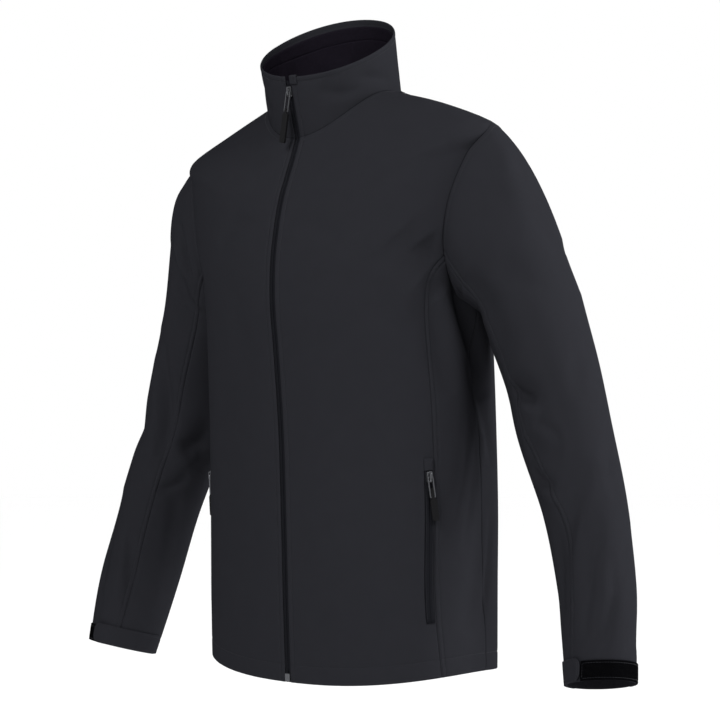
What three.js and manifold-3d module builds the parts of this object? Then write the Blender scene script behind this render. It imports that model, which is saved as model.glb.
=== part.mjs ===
// A zipped softshell jacket, filled out as if it were worn, with nobody in it.
// Millimetres, +Z up. The front faces -Y and the wearer's left is +X.
// The origin is the middle of the neck, level with the neck ends of the shoulder seams.
import * as THREE from "three";
import Module from "manifold-3d";

const wasm = await Module();
wasm.setup();

const DEG = Math.PI / 180;
const TURN = 2 * Math.PI;

// Cloth and seams
const CLOTH = 1.8;
const LINING = 1.2;
const TAPE = 1.0;
const COIL = 1.6;
const TRIM = 1.4;
const GAP = 0.3;

// A table from its columns' names and its rows of numbers
const table = (columns, rows) =>
  rows.map((row) => Object.fromEntries(columns.map((name, i) => [name, row[i]])));

// The torso, section by section from the hem to the neck seam.
// Each section is a ring through a side, a front and a back point.
// square is how boxed its corners are, lean is how far its left side hangs below its right,
// and dip is how narrow the sag or rise at its front and back is.
const TORSO = table(
  ["level", "sideX", "sideY", "sideZ", "frontY", "frontZ", "backY", "backZ", "square", "lean", "dip"],
  [
    [0.0, 191, 42, -675.5, -81, -696, 160, -688, 2.3, 5.5, 1.8],
    [0.15, 190, 41, -586, -86, -601, 166, -595, 2.3, 2, 2],
    [0.3, 189, 41, -492, -90, -502, 172, -499, 2.3, 0, 2],
    [0.45, 187, 38, -396, -95, -402, 174, -400, 2.3, 0, 2],
    [0.59, 186, 35, -299, -105, -304, 172, -300, 2.25, 0, 2],
    [0.66, 187, 32, -248, -111, -256, 167, -250, 2.2, 0, 2],
    [0.74, 198, 28, -190, -111, -209, 160, -203, 2.2, 0, 2],
    [0.82, 210, 24, -132, -105, -167, 148, -150, 2.15, 0, 2],
    [0.89, 221, 22, -79, -96, -130, 134, -100, 2.1, 0, 2],
    [0.94, 223, 19, -49, -85, -102, 117, -58, 2.1, -2, 2],
    [0.97, 156, 13, -19, -74, -76, 98, -12, 2.1, -3, 2],
    [1.0, 86, 7, 5, -65, -52, 77, 28, 2.05, 0, 2],
  ],
);

// The collar's top edge
const COLLAR = {
  sideX: 84,
  sideY: -8,
  sideZ: 66,
  frontY: -85,
  frontZ: 18,
  backY: 70,
  backZ: 114.5,
  square: 2.05,
  lean: 11,
  dip: 1,
};
const COLLAR_ROWS = 5;

// The armhole on the torso: an oval in turn and level
const ARMHOLE = { turn: 92 * DEG, halfTurn: 25 * DEG, level: 0.8, halfLevel: 0.14 };
// Where the panels' seams meet the armhole, as an angle round it: 0 is the front, 90 the shoulder
const FRONT_JUNCTION = -32 * DEG;
const SIDE_JUNCTION = 266 * DEG;
const SHOULDER = 90 * DEG;
const SLEEVE_BACK_STEP = 5;

// Seams down the torso, in degrees from the centre front at each level
const FRONT_SEAM = [
  { level: 0.0, left: 64.8, right: 69.5 },
  { level: 0.14, left: 62.5, right: 69 },
  { level: 0.3, left: 63.5, right: 71 },
  { level: 0.45, left: 64.1, right: 71.7 },
  { level: 0.55, left: 63.7, right: 71 },
  { level: 0.6, left: 63.3, right: 70.4 },
  { level: 0.66, left: 63.5, right: 69.2 },
  { level: 0.69, left: 64.9, right: 69.3 },
  { level: 0.726, left: 70.8, right: 70.8 },
];
const SIDE_SEAM_TURN = 93;

// Rows and columns of the cloth's grid
const ROWS_BELOW_ARMHOLE = 16;
const ROWS_FRONT_ARMHOLE = 10;
const ROWS_BACK_ARMHOLE = 14;
const COLUMNS_UNDER_ARM = 5;
const ROWS_SHOULDER = 4;
const COLUMNS_FRONT = 9;
const COLUMNS_BACK = 18;
const ROWS_SLEEVE_HEAD = 8;
const ROWS_ARM = 18;

// The sleeve's rings below its head. twist is how far their long way turns from the front to the outside.
const SLEEVE = [
  { along: 0.0, x: 250.5, y: 58.5, z: -262, wide: 68.7, narrow: 57.2, twist: 0 },
  { along: 0.185, x: 275.5, y: 62.5, z: -338, wide: 64.2, narrow: 55.2, twist: 20 },
  { along: 0.335, x: 294, y: 57.5, z: -400, wide: 57.2, narrow: 54.2, twist: 45 },
  { along: 0.553, x: 326.5, y: 48.5, z: -490, wide: 53.2, narrow: 47.7, twist: 45 },
  { along: 0.759, x: 348.5, y: 36.5, z: -577, wide: 52.2, narrow: 43.2, twist: 45 },
  { along: 0.872, x: 356.5, y: 27, z: -626, wide: 49.5, narrow: 41, twist: 45 },
  { along: 1.0, x: 364.7, y: 16.5, z: -682.5, wide: 44.5, narrow: 38.5, twist: 45 },
];
const ARM_LENGTH = 447;
const HEAD_LENGTH = 230;
const HEAD_REACH = 0.95;

// How far the arm's seams wander round it on the way down, in degrees
const SEAM_SWAY = [
  { along: 0.0, left: 0, right: 0 },
  { along: 0.35, left: 3, right: 4 },
  { along: 0.6, left: 24, right: 0 },
  { along: 0.8, left: 16, right: -3 },
  { along: 1.0, left: 3, right: 0 },
];

// The largest folds. Each runs from one place to another, bowed sideways; depth is how far it sinks.
// On the torso a place is the turn in degrees and the level, on a sleeve the angle and the reach.
const TORSO_FOLDS = [
  { from: [90, 0.54], to: [73, 0.2], bow: 10, width: 22, depth: 5 },
  { from: [98, 0.42], to: [81, 0.07], bow: 8, width: 20, depth: 4 },
  { from: [67, 0.69], to: [75, 0.5], bow: -6, width: 20, depth: 6 },
  { from: [46, 0.77], to: [60, 0.69], bow: 5, width: 30, depth: 5 },
  { from: [23, 0.62], to: [31, 0.22], bow: 8, width: 36, depth: 2.5 },
  { from: [-27, 0.6], to: [-19, 0.16], bow: -10, width: 36, depth: 2.5 },
  { from: [-88, 0.57], to: [-71, 0.27], bow: -9, width: 22, depth: 5 },
  { from: [-97, 0.38], to: [-84, 0.09], bow: -6, width: 22, depth: 4 },
  { from: [-65, 0.7], to: [-72, 0.53], bow: 6, width: 20, depth: 6 },
  { from: [-50, 0.75], to: [-61, 0.7], bow: -4, width: 26, depth: 4 },
  { from: [122, 0.73], to: [139, 0.53], bow: 9, width: 26, depth: 6 },
  { from: [-121, 0.71], to: [-142, 0.5], bow: -8, width: 25, depth: 6 },
  { from: [151, 0.7], to: [163, 0.33], bow: 12, width: 34, depth: 5 },
  { from: [-149, 0.66], to: [-160, 0.27], bow: -10, width: 32, depth: 5 },
  { from: [176, 0.4], to: [138, 0.34], bow: -9, width: 26, depth: 4 },
  { from: [-171, 0.34], to: [-136, 0.43], bow: 8, width: 24, depth: 4 },
  { from: [168, 0.22], to: [174, 0.03], bow: 4, width: 26, depth: 3 },
];
const LEFT_SLEEVE_FOLDS = [
  { from: [-26, -0.5], to: [-8, 0.14], bow: 8, width: 24, depth: 6 },
  { from: [-38, 0.2], to: [8, 0.33], bow: -7, width: 18, depth: 6 },
  { from: [-30, 0.36], to: [24, 0.42], bow: 8, width: 17, depth: 4.5 },
  { from: [48, 0.47], to: [-26, 0.78], bow: 10, width: 17, depth: 4 },
  { from: [103, 0.6], to: [56, 0.8], bow: -6, width: 16, depth: 4 },
  { from: [60, -0.72], to: [96, -0.2], bow: 9, width: 26, depth: 3.5 },
  { from: [150, 0.24], to: [207, 0.33], bow: 8, width: 19, depth: 6 },
  { from: [158, 0.44], to: [214, 0.38], bow: -7, width: 17, depth: 5 },
  { from: [176, -0.55], to: [160, 0.02], bow: -9, width: 24, depth: 5 },
  { from: [200, 0.55], to: [166, 0.85], bow: 7, width: 17, depth: 4 },
];
const RIGHT_SLEEVE_FOLDS = [
  { from: [8, -0.56], to: [-9, -0.24], bow: 4, width: 17, depth: 6.5 },
  { from: [-30, -0.45], to: [-12, 0.12], bow: -8, width: 22, depth: 5 },
  { from: [31, 0.02], to: [-22, 0.44], bow: 8, width: 19, depth: 5 },
  { from: [-78, 0.27], to: [-40, 0.37], bow: 6, width: 22, depth: 7 },
  { from: [20, 0.4], to: [64, 0.3], bow: 7, width: 18, depth: 4 },
  { from: [-84, 0.7], to: [-92, 0.91], bow: 3, width: 16, depth: 4 },
  { from: [44, 0.55], to: [12, 0.84], bow: -8, width: 18, depth: 3.5 },
  { from: [144, 0.2], to: [203, 0.3], bow: -7, width: 19, depth: 6 },
  { from: [164, 0.4], to: [216, 0.45], bow: 6, width: 17, depth: 5 },
  { from: [184, -0.5], to: [166, 0.08], bow: 8, width: 24, depth: 5 },
  { from: [194, 0.6], to: [160, 0.8], bow: -6, width: 16, depth: 4 },
];
const TORSO_DEGREE = 3.1;
const TORSO_HEIGHT = 680;
const SLEEVE_DEGREE = 0.95;

// Zip
const ZIP_HALF_GAP = 4;
const TAPE_HALF_WIDTH = 14;
const COIL_WIDTH = 6;
const SLIDER = { width: 7, above: 6, below: 6, thick: 2.2 };
const BAR = { half: 0.7, clear: 1.25 };
const BRIDGE = { half: 4.6, width: 1.8, top: 2.2, post: 1.4, thick: 0.9 };
const PULL = { width: 7, length: 24, rail: 1.4, foot: 1.6, thick: 1.4 };
const PULLER = { shoulder: 25.2, neck: 3.4, width: 8, thick: 3 };
// Where each zip's puller starts and ends below the hinge bar, and how far it hangs out of plumb
const MAIN_PULLER = { top: 19.5, end: 61, tilt: 9 * DEG };
const POCKET_PULLER = { top: 13, end: 50.5, tilt: 8 * DEG };
const MAIN_SLIDER_SHARE = 0.755;

// The pockets' zips lie just in front of the front seam. near and far are distances from the seam,
// and brim is how far the garage over the slider's end reaches past the zip on each side.
const POCKET = {
  bottom: 0.102,
  top: 0.3894,
  rows: 7,
  near: 2,
  far: 11,
  slider: 0.3599,
  garageFoot: 0.3709,
  garageTop: 0.3934,
  brim: 0.8,
};
const POCKET_DEGREE = 2.2;

// The cuffs' strips, counted in columns of the sleeve's grid
const CUFF = {
  loopFrom: 2,
  loopTo: 16,
  loopTop: 0.953,
  tabFrom: 23,
  leftTabTo: 3,
  rightTabTo: 5,
  tabTop: 0.944,
};

// A smooth curve through one column of a table
function column(table, name, at, key = "level") {
  const last = table.length - 1;
  let i = 0;
  while (i < last - 1 && at > table[i + 1][key]) i += 1;
  const a = table[i];
  const b = table[i + 1];
  const span = b[key] - a[key];
  const slope = (p, q) => (q[name] - p[name]) / (q[key] - p[key]);
  const middle = slope(a, b) * span;
  const into = i > 0 ? slope(table[i - 1], b) * span : middle;
  const outOf = i < last - 1 ? slope(a, table[i + 2]) * span : middle;
  const t = (at - a[key]) / span;
  const rise = t * t * (3 - 2 * t);
  const bend = into * t * (1 - t) ** 2 - outOf * t * t * (1 - t);
  return a[name] * (1 - rise) + b[name] * rise + bend;
}

const RING_COLUMNS = Object.keys(COLLAR);

function torsoSection(level) {
  return Object.fromEntries(RING_COLUMNS.map((name) => [name, column(TORSO, name, level)]));
}

// A point of a ring, at a turn from the centre front towards the wearer's left
function ringPoint(section, turn) {
  const power = 2 / section.square;
  const across = Math.sin(turn);
  const forward = Math.cos(turn);
  const [endY, endZ] = forward > 0 ? [section.frontY, section.frontZ] : [section.backY, section.backZ];
  const share = Math.sign(across) * Math.abs(across) ** power;
  return new THREE.Vector3(
    section.sideX * share,
    section.sideY + (endY - section.sideY) * Math.abs(forward) ** power,
    section.sideZ + (endZ - section.sideZ) * Math.abs(forward) ** section.dip - section.lean * share,
  );
}

// How far the folds lift the cloth at a place; perA and perB turn the place's two numbers into millimetres
function relief(folds, a, b, perA, perB) {
  let height = 0;
  for (const { from, to, bow, width, depth } of folds) {
    const round = ((((a - from[0] + 180) % 360) + 360) % 360) - 180;
    const here = new THREE.Vector2(round * perA, (b - from[1]) * perB);
    const line = new THREE.Vector2((to[0] - from[0]) * perA, (to[1] - from[1]) * perB);
    const t = Math.min(Math.max(here.dot(line) / line.lengthSq(), 0), 1);
    const sideways = new THREE.Vector2(-line.y, line.x).normalize();
    const nearest = line.multiplyScalar(t).addScaledVector(sideways, bow * 4 * t * (1 - t));
    height -= depth * Math.sin(Math.PI * t) ** 0.6 * Math.exp(-((nearest.distanceTo(here) / width) ** 2));
  }
  return height;
}

const smoothTorsoPoint = (turn, level) => ringPoint(torsoSection(level), turn);

function torsoPoint(turn, level) {
  const lift = relief(TORSO_FOLDS, turn / DEG, level, TORSO_DEGREE, TORSO_HEIGHT);
  const out = facing(smoothTorsoPoint, turn, Math.min(level, 0.995));
  return smoothTorsoPoint(turn, level).addScaledVector(out, lift);
}

// The collar runs from the neck seam (share 0) to its top edge (share 1)
function collarPoint(turn, share) {
  return torsoPoint(turn, 1).lerp(ringPoint(COLLAR, turn), share);
}

// The turn at which a section comes to a distance from the centre line
const turnAt = (section, x) => Math.asin((x / section.sideX) ** (section.square / 2));

const armholeTurn = (angle) => ARMHOLE.turn - ARMHOLE.halfTurn * Math.cos(angle);
const armholeLevel = (angle) => ARMHOLE.level + ARMHOLE.halfLevel * Math.sin(angle);

// The way out of the cloth, from two points a little along each way
function facing(surface, a, b) {
  const step = 0.004;
  const alongA = surface(a + step, b).sub(surface(a - step, b));
  const alongB = surface(a, b + step).sub(surface(a, b - step));
  return alongA.cross(alongB).normalize();
}

const torsoFacing = (turn, level) => facing(torsoPoint, turn, Math.min(level, 0.995));
const collarFacing = (turn, share) => facing(collarPoint, turn, share);

// A ring of the left sleeve below its head
function sleeveRing(along) {
  const at = (s, name) => column(SLEEVE, name, s, "along");
  const centreAt = (s) => new THREE.Vector3(at(s, "x"), at(s, "y"), at(s, "z"));
  const down = centreAt(along + 0.01).sub(centreAt(along - 0.01)).normalize();
  const forward = new THREE.Vector3(0, -1, 0);
  forward.addScaledVector(down, -forward.dot(down)).normalize();
  const outward = new THREE.Vector3().crossVectors(forward, down);
  const [wide, narrow] = [at(along, "wide"), at(along, "narrow")];
  return { centre: centreAt(along), down, forward, outward, wide, narrow, twist: at(along, "twist") * DEG };
}

function armPoint(angle, along) {
  const ring = sleeveRing(along);
  const wide = ring.wide * Math.cos(angle - ring.twist);
  const narrow = ring.narrow * Math.sin(angle - ring.twist);
  return ring.centre
    .addScaledVector(ring.forward, wide * Math.cos(ring.twist) - narrow * Math.sin(ring.twist))
    .addScaledVector(ring.outward, wide * Math.sin(ring.twist) + narrow * Math.cos(ring.twist));
}

// The sleeve's head curves from the armhole over to the top ring of the arm
function headPoint(side, angle, share) {
  const from = torsoPoint(side * armholeTurn(angle), armholeLevel(angle));
  const ring = sleeveRing(0);
  const to = armPoint(angle, 0);
  to.x *= side;
  const reach = from.distanceTo(to) * HEAD_REACH;
  const up = (1 + Math.sin(angle)) / 2;
  const start = new THREE.Vector3(0.74, 0, -0.67)
    .multiplyScalar(up)
    .addScaledVector(ring.down, 1 - up)
    .addScaledVector(new THREE.Vector3(0, -1, 0), 0.25 * Math.cos(angle))
    .normalize()
    .multiplyScalar(reach);
  const end = ring.down.clone().multiplyScalar(reach);
  start.x *= side;
  end.x *= side;
  const t = share;
  return from
    .multiplyScalar(2 * t ** 3 - 3 * t ** 2 + 1)
    .addScaledVector(start, t ** 3 - 2 * t ** 2 + t)
    .addScaledVector(to, -2 * t ** 3 + 3 * t ** 2)
    .addScaledVector(end, t ** 3 - t ** 2);
}

// A whole sleeve: reach runs from -1 at the armhole through 0 under the head to 1 at the cuff
function smoothSleevePoint(side, angle, reach) {
  if (reach < 0) return headPoint(side, angle, reach + 1);
  const point = armPoint(angle, reach);
  point.x *= side;
  return point;
}

function sleevePoint(side, angle, reach) {
  const folds = side > 0 ? LEFT_SLEEVE_FOLDS : RIGHT_SLEEVE_FOLDS;
  const length = reach < 0 ? HEAD_LENGTH : ARM_LENGTH;
  const fade = Math.min((reach + 1) / 0.25, 1);
  const lift = relief(folds, angle / DEG, reach, SLEEVE_DEGREE, length) * fade * fade * (3 - 2 * fade);
  const surface = (a, b) => smoothSleevePoint(side, a, b);
  const out = facing(surface, angle, Math.max(reach, -0.99)).multiplyScalar(-side);
  return smoothSleevePoint(side, angle, reach).addScaledVector(out, lift);
}

function sleeveFacing(side, angle, reach) {
  const surface = (a, b) => sleevePoint(side, a, b);
  return facing(surface, angle, Math.max(reach, -0.99)).multiplyScalar(-side);
}

// Evenly spaced numbers from one end to the other
function steps(from, to, count) {
  return Array.from({ length: count + 1 }, (_, i) => from + ((to - from) * i) / count);
}

// Turns a closed geometry's faces outwards if they face in
function facedOut(positions, faces) {
  const corner = (i) => new THREE.Vector3().fromArray(positions, 3 * faces[i]);
  let volume = 0;
  for (let i = 0; i < faces.length; i += 3) volume += corner(i).dot(corner(i + 1).cross(corner(i + 2)));
  if (volume < 0)
    for (let i = 0; i < faces.length; i += 3) [faces[i + 1], faces[i + 2]] = [faces[i + 2], faces[i + 1]];
  const geometry = new THREE.BufferGeometry();
  geometry.setAttribute("position", new THREE.Float32BufferAttribute(positions, 3));
  geometry.setIndex(faces);
  geometry.computeVertexNormals();
  return geometry;
}

// A closed wall of cloth from rows of spots, each an outer point and the way out of the cloth
function wall(rows, thickness) {
  const height = rows.length;
  const width = rows[0].length;
  const spots = rows.flat();
  const positions = [
    ...spots.flatMap(({ point }) => point.toArray()),
    ...spots.flatMap(({ point, out }) => point.clone().addScaledVector(out, -thickness).toArray()),
  ];
  const outer = (r, c) => r * width + c;
  const inner = (r, c) => height * width + r * width + c;
  const faces = [];
  const quad = (a, b, c, d) => faces.push(a, b, c, a, c, d);
  for (let r = 0; r < height - 1; r += 1)
    for (let c = 0; c < width - 1; c += 1) {
      quad(outer(r, c), outer(r, c + 1), outer(r + 1, c + 1), outer(r + 1, c));
      quad(inner(r, c), inner(r + 1, c), inner(r + 1, c + 1), inner(r, c + 1));
    }
  for (let c = 0; c < width - 1; c += 1) {
    quad(outer(0, c), inner(0, c), inner(0, c + 1), outer(0, c + 1));
    quad(outer(height - 1, c), outer(height - 1, c + 1), inner(height - 1, c + 1), inner(height - 1, c));
  }
  for (let r = 0; r < height - 1; r += 1) {
    quad(outer(r, 0), outer(r + 1, 0), inner(r + 1, 0), inner(r, 0));
    quad(outer(r, width - 1), inner(r, width - 1), inner(r + 1, width - 1), outer(r + 1, width - 1));
  }
  return facedOut(positions, faces);
}

// Draws the edges of a grid back from its seams by half the gap between pieces
function setBack(rows) {
  const height = rows.length;
  const width = rows[0].length;
  const moved = rows.map((row) => row.map(({ point }) => point.clone()));
  const shift = (r, c, r2, c2, before, after) => {
    const here = rows[r][c].point;
    const inwards = rows[r2][c2].point.clone().sub(here);
    const edge = after.point.clone().sub(before.point).normalize();
    inwards.addScaledVector(edge, -inwards.dot(edge)).normalize();
    moved[r][c].addScaledVector(inwards, GAP / 2);
  };
  for (const [r, r2] of [[0, 1], [height - 1, height - 2]])
    for (let c = 0; c < width; c += 1)
      shift(r, c, r2, c, rows[r][Math.max(c - 1, 0)], rows[r][Math.min(c + 1, width - 1)]);
  for (const [c, c2] of [[0, 1], [width - 1, width - 2]])
    for (let r = 0; r < height; r += 1)
      shift(r, c, r, c2, rows[Math.max(r - 1, 0)][c], rows[Math.min(r + 1, height - 1)][c]);
  return rows.map((row, r) => row.map(({ out }, c) => ({ point: moved[r][c], out })));
}

// The same spots, moved out from the cloth (or in, if less than 0)
const lifted = (rows, lift) =>
  rows.map((row) => row.map(({ point, out }) => ({ point: point.clone().addScaledVector(out, lift), out })));

// The way out at a seam between two surfaces is half way between theirs
const between = (a, b) => a.clone().add(b).normalize();

// A spot on the armhole's seam, stood off the torso by a lift
function armholeSpot(side, angle, lift = 0) {
  const turn = side * armholeTurn(angle);
  const level = armholeLevel(angle);
  const torsoOut = torsoFacing(turn, level);
  const point = torsoPoint(turn, level).addScaledVector(torsoOut, lift);
  return { point, out: between(torsoOut, sleeveFacing(side, angle, -1)) };
}

const collarSpot = (turn, share) => ({
  point: collarPoint(turn, share),
  out: share === 0 ? between(torsoFacing(turn, 1), collarFacing(turn, 0)) : collarFacing(turn, share),
});

const torsoSpot = (turn, level) =>
  level > 0.9999 ? collarSpot(turn, 0) : { point: torsoPoint(turn, level), out: torsoFacing(turn, level) };

// The angles round the armhole that pieces on both sides of its seam share
const FRONT_ANGLES = steps(FRONT_JUNCTION, SHOULDER, ROWS_FRONT_ARMHOLE);
const BACK_ANGLES = steps(SIDE_JUNCTION, SHOULDER, ROWS_BACK_ARMHOLE);
const UNDER_ANGLES = steps(FRONT_JUNCTION + TURN, SIDE_JUNCTION, COLUMNS_UNDER_ARM);
const SHOULDER_LEVELS = steps(armholeLevel(SHOULDER), 1, ROWS_SHOULDER).slice(1);
const BELOW = steps(0, 1, ROWS_BELOW_ARMHOLE);

const frontSeamTurn = (side, level) => column(FRONT_SEAM, side > 0 ? "left" : "right", level) * DEG;

function sideSeamTurn(side, level) {
  const end = armholeTurn(SIDE_JUNCTION);
  const top = armholeLevel(SIDE_JUNCTION);
  return SIDE_SEAM_TURN * DEG + (end - SIDE_SEAM_TURN * DEG) * (level / top) ** 2;
}

const FRONT_TOP = armholeLevel(FRONT_JUNCTION);
const FRONT_LEVELS = [
  ...BELOW.slice(0, -1).map((share) => share * FRONT_TOP),
  ...FRONT_ANGLES.map(armholeLevel),
  ...SHOULDER_LEVELS,
];

// The columns of a front or of the collar's front: first the width of the zip tape, then even ones
function frontTurns(level, toTurn) {
  const section = torsoSection(level);
  const tapeEdge = turnAt(section, TAPE_HALF_WIDTH);
  return [turnAt(section, ZIP_HALF_GAP), ...steps(tapeEdge, toTurn, COLUMNS_FRONT)];
}

// Rows of a panel whose far edge runs up a seam, along the armhole and along the shoulder
function panelRows(side, junction, seam, angles, turnsOf) {
  const top = armholeLevel(junction);
  const row = (level, end) => turnsOf(level, end).map((turn) => torsoSpot(side * turn, level));
  const below = BELOW.slice(0, -1).map((share) => row(share * top, seam(side, share * top)));
  const beside = angles.map((angle) => {
    const spots = row(armholeLevel(angle), armholeTurn(angle));
    spots[spots.length - 1] = armholeSpot(side, angle);
    return spots;
  });
  return [...below, ...beside, ...SHOULDER_LEVELS.map((level) => row(level, ARMHOLE.turn))];
}

const frontRows = (side) => panelRows(side, FRONT_JUNCTION, frontSeamTurn, FRONT_ANGLES, frontTurns);

function backRows() {
  const turnsOf = (level, end) => steps(Math.PI, end, COLUMNS_BACK / 2);
  const half = (side) => panelRows(side, SIDE_JUNCTION, sideSeamTurn, BACK_ANGLES, turnsOf);
  const right = half(-1);
  return half(1).map((row, r) => [...row.slice().reverse(), ...right[r].slice(1)]);
}

function sideRows(side) {
  const top = UNDER_ANGLES.map(armholeLevel);
  const evenTurn = (share, c) => {
    const front = frontSeamTurn(side, share * top[0]);
    const back = sideSeamTurn(side, share * top[COLUMNS_UNDER_ARM]);
    return front + ((back - front) * c) / COLUMNS_UNDER_ARM;
  };
  return BELOW.map((share) =>
    UNDER_ANGLES.map((angle, c) => {
      if (share === 1) return armholeSpot(side, angle);
      const shift = (armholeTurn(angle) - evenTurn(1, c)) * share ** 6;
      return torsoSpot(side * (evenTurn(share, c) + shift), share * top[c]);
    }),
  );
}

// Both sleeve pieces share the armhole's angles, so that the cloth meets point for point
const UPPER_ANGLES = [...FRONT_ANGLES, ...BACK_ANGLES.slice(-1 - SLEEVE_BACK_STEP, -1).reverse()];
const UNDER_SLEEVE_ANGLES = [
  ...BACK_ANGLES.slice(0, ROWS_BACK_ARMHOLE - SLEEVE_BACK_STEP + 1).reverse(),
  ...UNDER_ANGLES.slice(0, -1).reverse(),
];
const REACHES = [...steps(-1, 0, ROWS_SLEEVE_HEAD), ...steps(0, 1, ROWS_ARM).slice(1)];

function sleeveSpot(side, angle, reach) {
  if (reach === -1) return armholeSpot(side, angle, GAP);
  const sway = reach > 0 ? column(SEAM_SWAY, side > 0 ? "left" : "right", reach, "along") * DEG : 0;
  return { point: sleevePoint(side, angle + sway, reach), out: sleeveFacing(side, angle + sway, reach) };
}

const sleeveRows = (side, reaches, angles) =>
  reaches.map((reach) => angles.map((angle) => sleeveSpot(side, angle, reach)));

// The collar goes from one side of the zip round the back to the other
const BACK_OF_NECK = steps(ARMHOLE.turn, Math.PI, COLUMNS_BACK / 2).slice(1);
const HALF_NECK = [...frontTurns(1, ARMHOLE.turn), ...BACK_OF_NECK];
const NECK_TURNS = [...HALF_NECK, ...HALF_NECK.slice(0, -1).reverse().map((turn) => TURN - turn)];

const collarRows = (shares, turns) => shares.map((share) => turns.map((turn) => collarSpot(turn, share)));

// A strip down the middle of the front and collar, between distances from the centre line
function centreRows(side, distances, topShare) {
  const turnOf = (section, x) => side * Math.sign(x) * turnAt(section, Math.abs(x));
  const turns = (level) => distances.map((x) => turnOf(torsoSection(level), x));
  return [
    ...FRONT_LEVELS.map((level) => turns(level).map((turn) => torsoSpot(turn, level))),
    ...steps(0, topShare, COLLAR_ROWS - 1)
      .slice(1)
      .map((share) => turns(1).map((turn) => collarSpot(turn, share))),
  ];
}

// A small patch on the torso beside the pocket, between distances in front of the seam
function pocketRows(side, levels, distances) {
  return levels.map((level) =>
    distances.map((distance) => {
      const turn = frontSeamTurn(side, level) - (distance / POCKET_DEGREE) * DEG;
      return torsoSpot(side * turn, level);
    }),
  );
}

// The chin guard folds over the collar's top edge beside the zip
function chinGuardRows() {
  const turns = [HALF_NECK[0], (HALF_NECK[0] + HALF_NECK[1]) / 2, HALF_NECK[1]];
  const outside = GAP + TRIM;
  const inside = -(CLOTH + GAP + TAPE + GAP + TRIM);
  const top = GAP + TRIM;
  const corner = 0.9;
  const profile = [
    { share: 0.87, lift: outside, up: 0, out: 1, rise: 0 },
    { share: 1, lift: outside, up: 0, out: 1, rise: 0 },
    { share: 1, lift: outside - corner, up: top, out: 1, rise: 1 },
    { share: 1, lift: inside + corner, up: top, out: -1, rise: 1 },
    { share: 1, lift: inside, up: 0, out: -1, rise: 0 },
    { share: 0.87, lift: inside, up: 0, out: -1, rise: 0 },
  ];
  return profile.map(({ share, lift, up, out, rise }) =>
    turns.map((turn) => {
      const upwards = collarPoint(turn, 1).sub(collarPoint(turn, 0.9)).normalize();
      const away = collarFacing(turn, share);
      const point = collarPoint(turn, share).addScaledVector(away, lift).addScaledVector(upwards, up);
      return { point, out: away.multiplyScalar(out).addScaledVector(upwards, rise).normalize() };
    }),
  );
}

function toManifold(geometry) {
  const place = geometry.getAttribute("position");
  const index = geometry.getIndex();
  const found = new Map();
  const points = [];
  const corners = index ? Array.from(index.array) : Array.from({ length: place.count }, (_, i) => i);
  const faces = corners.map((i) => {
    const exact = [place.getX(i), place.getY(i), place.getZ(i)];
    const spot = exact.map((value) => Math.round(value * 1e4) / 1e4);
    const key = spot.join();
    if (!found.has(key)) {
      found.set(key, points.length / 3);
      points.push(...spot);
    }
    return found.get(key);
  });
  const mesh = new wasm.Mesh({
    numProp: 3,
    vertProperties: new Float32Array(points),
    triVerts: new Uint32Array(faces),
  });
  return new wasm.Manifold(mesh);
}

function fromManifold(solid) {
  const mesh = solid.getMesh();
  const geometry = new THREE.BufferGeometry();
  geometry.setAttribute("position", new THREE.Float32BufferAttribute(Array.from(mesh.vertProperties), 3));
  geometry.setIndex(Array.from(mesh.triVerts));
  geometry.computeVertexNormals();
  return geometry;
}

// A rounded outline between two corners
function rounded(left, bottom, right, top, radius) {
  const outline = new THREE.Shape();
  outline.moveTo(left + radius, bottom);
  outline.absarc(right - radius, bottom + radius, radius, -90 * DEG, 0);
  outline.absarc(right - radius, top - radius, radius, 0, 90 * DEG);
  outline.absarc(left + radius, top - radius, radius, 90 * DEG, 180 * DEG);
  outline.absarc(left + radius, bottom + radius, radius, 180 * DEG, 270 * DEG);
  return outline;
}

// Zip hardware is drawn with X across the zip, Y up it and Z out of the cloth, its hinge bar at the origin
function solidOf(outline, from, to) {
  const style = { depth: to - from, bevelEnabled: false, curveSegments: 2 };
  return new THREE.ExtrudeGeometry(outline, style).translate(0, 0, from);
}

function sliderGeometry(bottom) {
  const outline = rounded(-SLIDER.width / 2, -SLIDER.below, SLIDER.width / 2, SLIDER.above, 1.2);
  const plate = solidOf(outline, bottom, -BAR.clear);
  const arch = new THREE.Shape();
  arch.moveTo(-BRIDGE.half, -BAR.clear - 0.2);
  arch.lineTo(-BRIDGE.half, BRIDGE.top - 0.8);
  arch.lineTo(-BRIDGE.half + 0.8, BRIDGE.top);
  arch.lineTo(BRIDGE.half - 0.8, BRIDGE.top);
  arch.lineTo(BRIDGE.half, BRIDGE.top - 0.8);
  arch.lineTo(BRIDGE.half, -BAR.clear - 0.2);
  arch.lineTo(BRIDGE.half - BRIDGE.post, -BAR.clear - 0.2);
  arch.lineTo(BRIDGE.half - BRIDGE.post, BRIDGE.top - BRIDGE.thick);
  arch.lineTo(-BRIDGE.half + BRIDGE.post, BRIDGE.top - BRIDGE.thick);
  arch.lineTo(-BRIDGE.half + BRIDGE.post, -BAR.clear - 0.2);
  arch.closePath();
  const bridge = solidOf(arch, -BRIDGE.width / 2, BRIDGE.width / 2);
  // The arch is drawn along the zip, and turned to stand on the plate
  bridge.applyMatrix4(new THREE.Matrix4().set(0, 0, 1, 0, 1, 0, 0, 0, 0, 1, 0, 0, 0, 0, 0, 1));
  return fromManifold(toManifold(plate).add(toManifold(bridge)));
}

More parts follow.
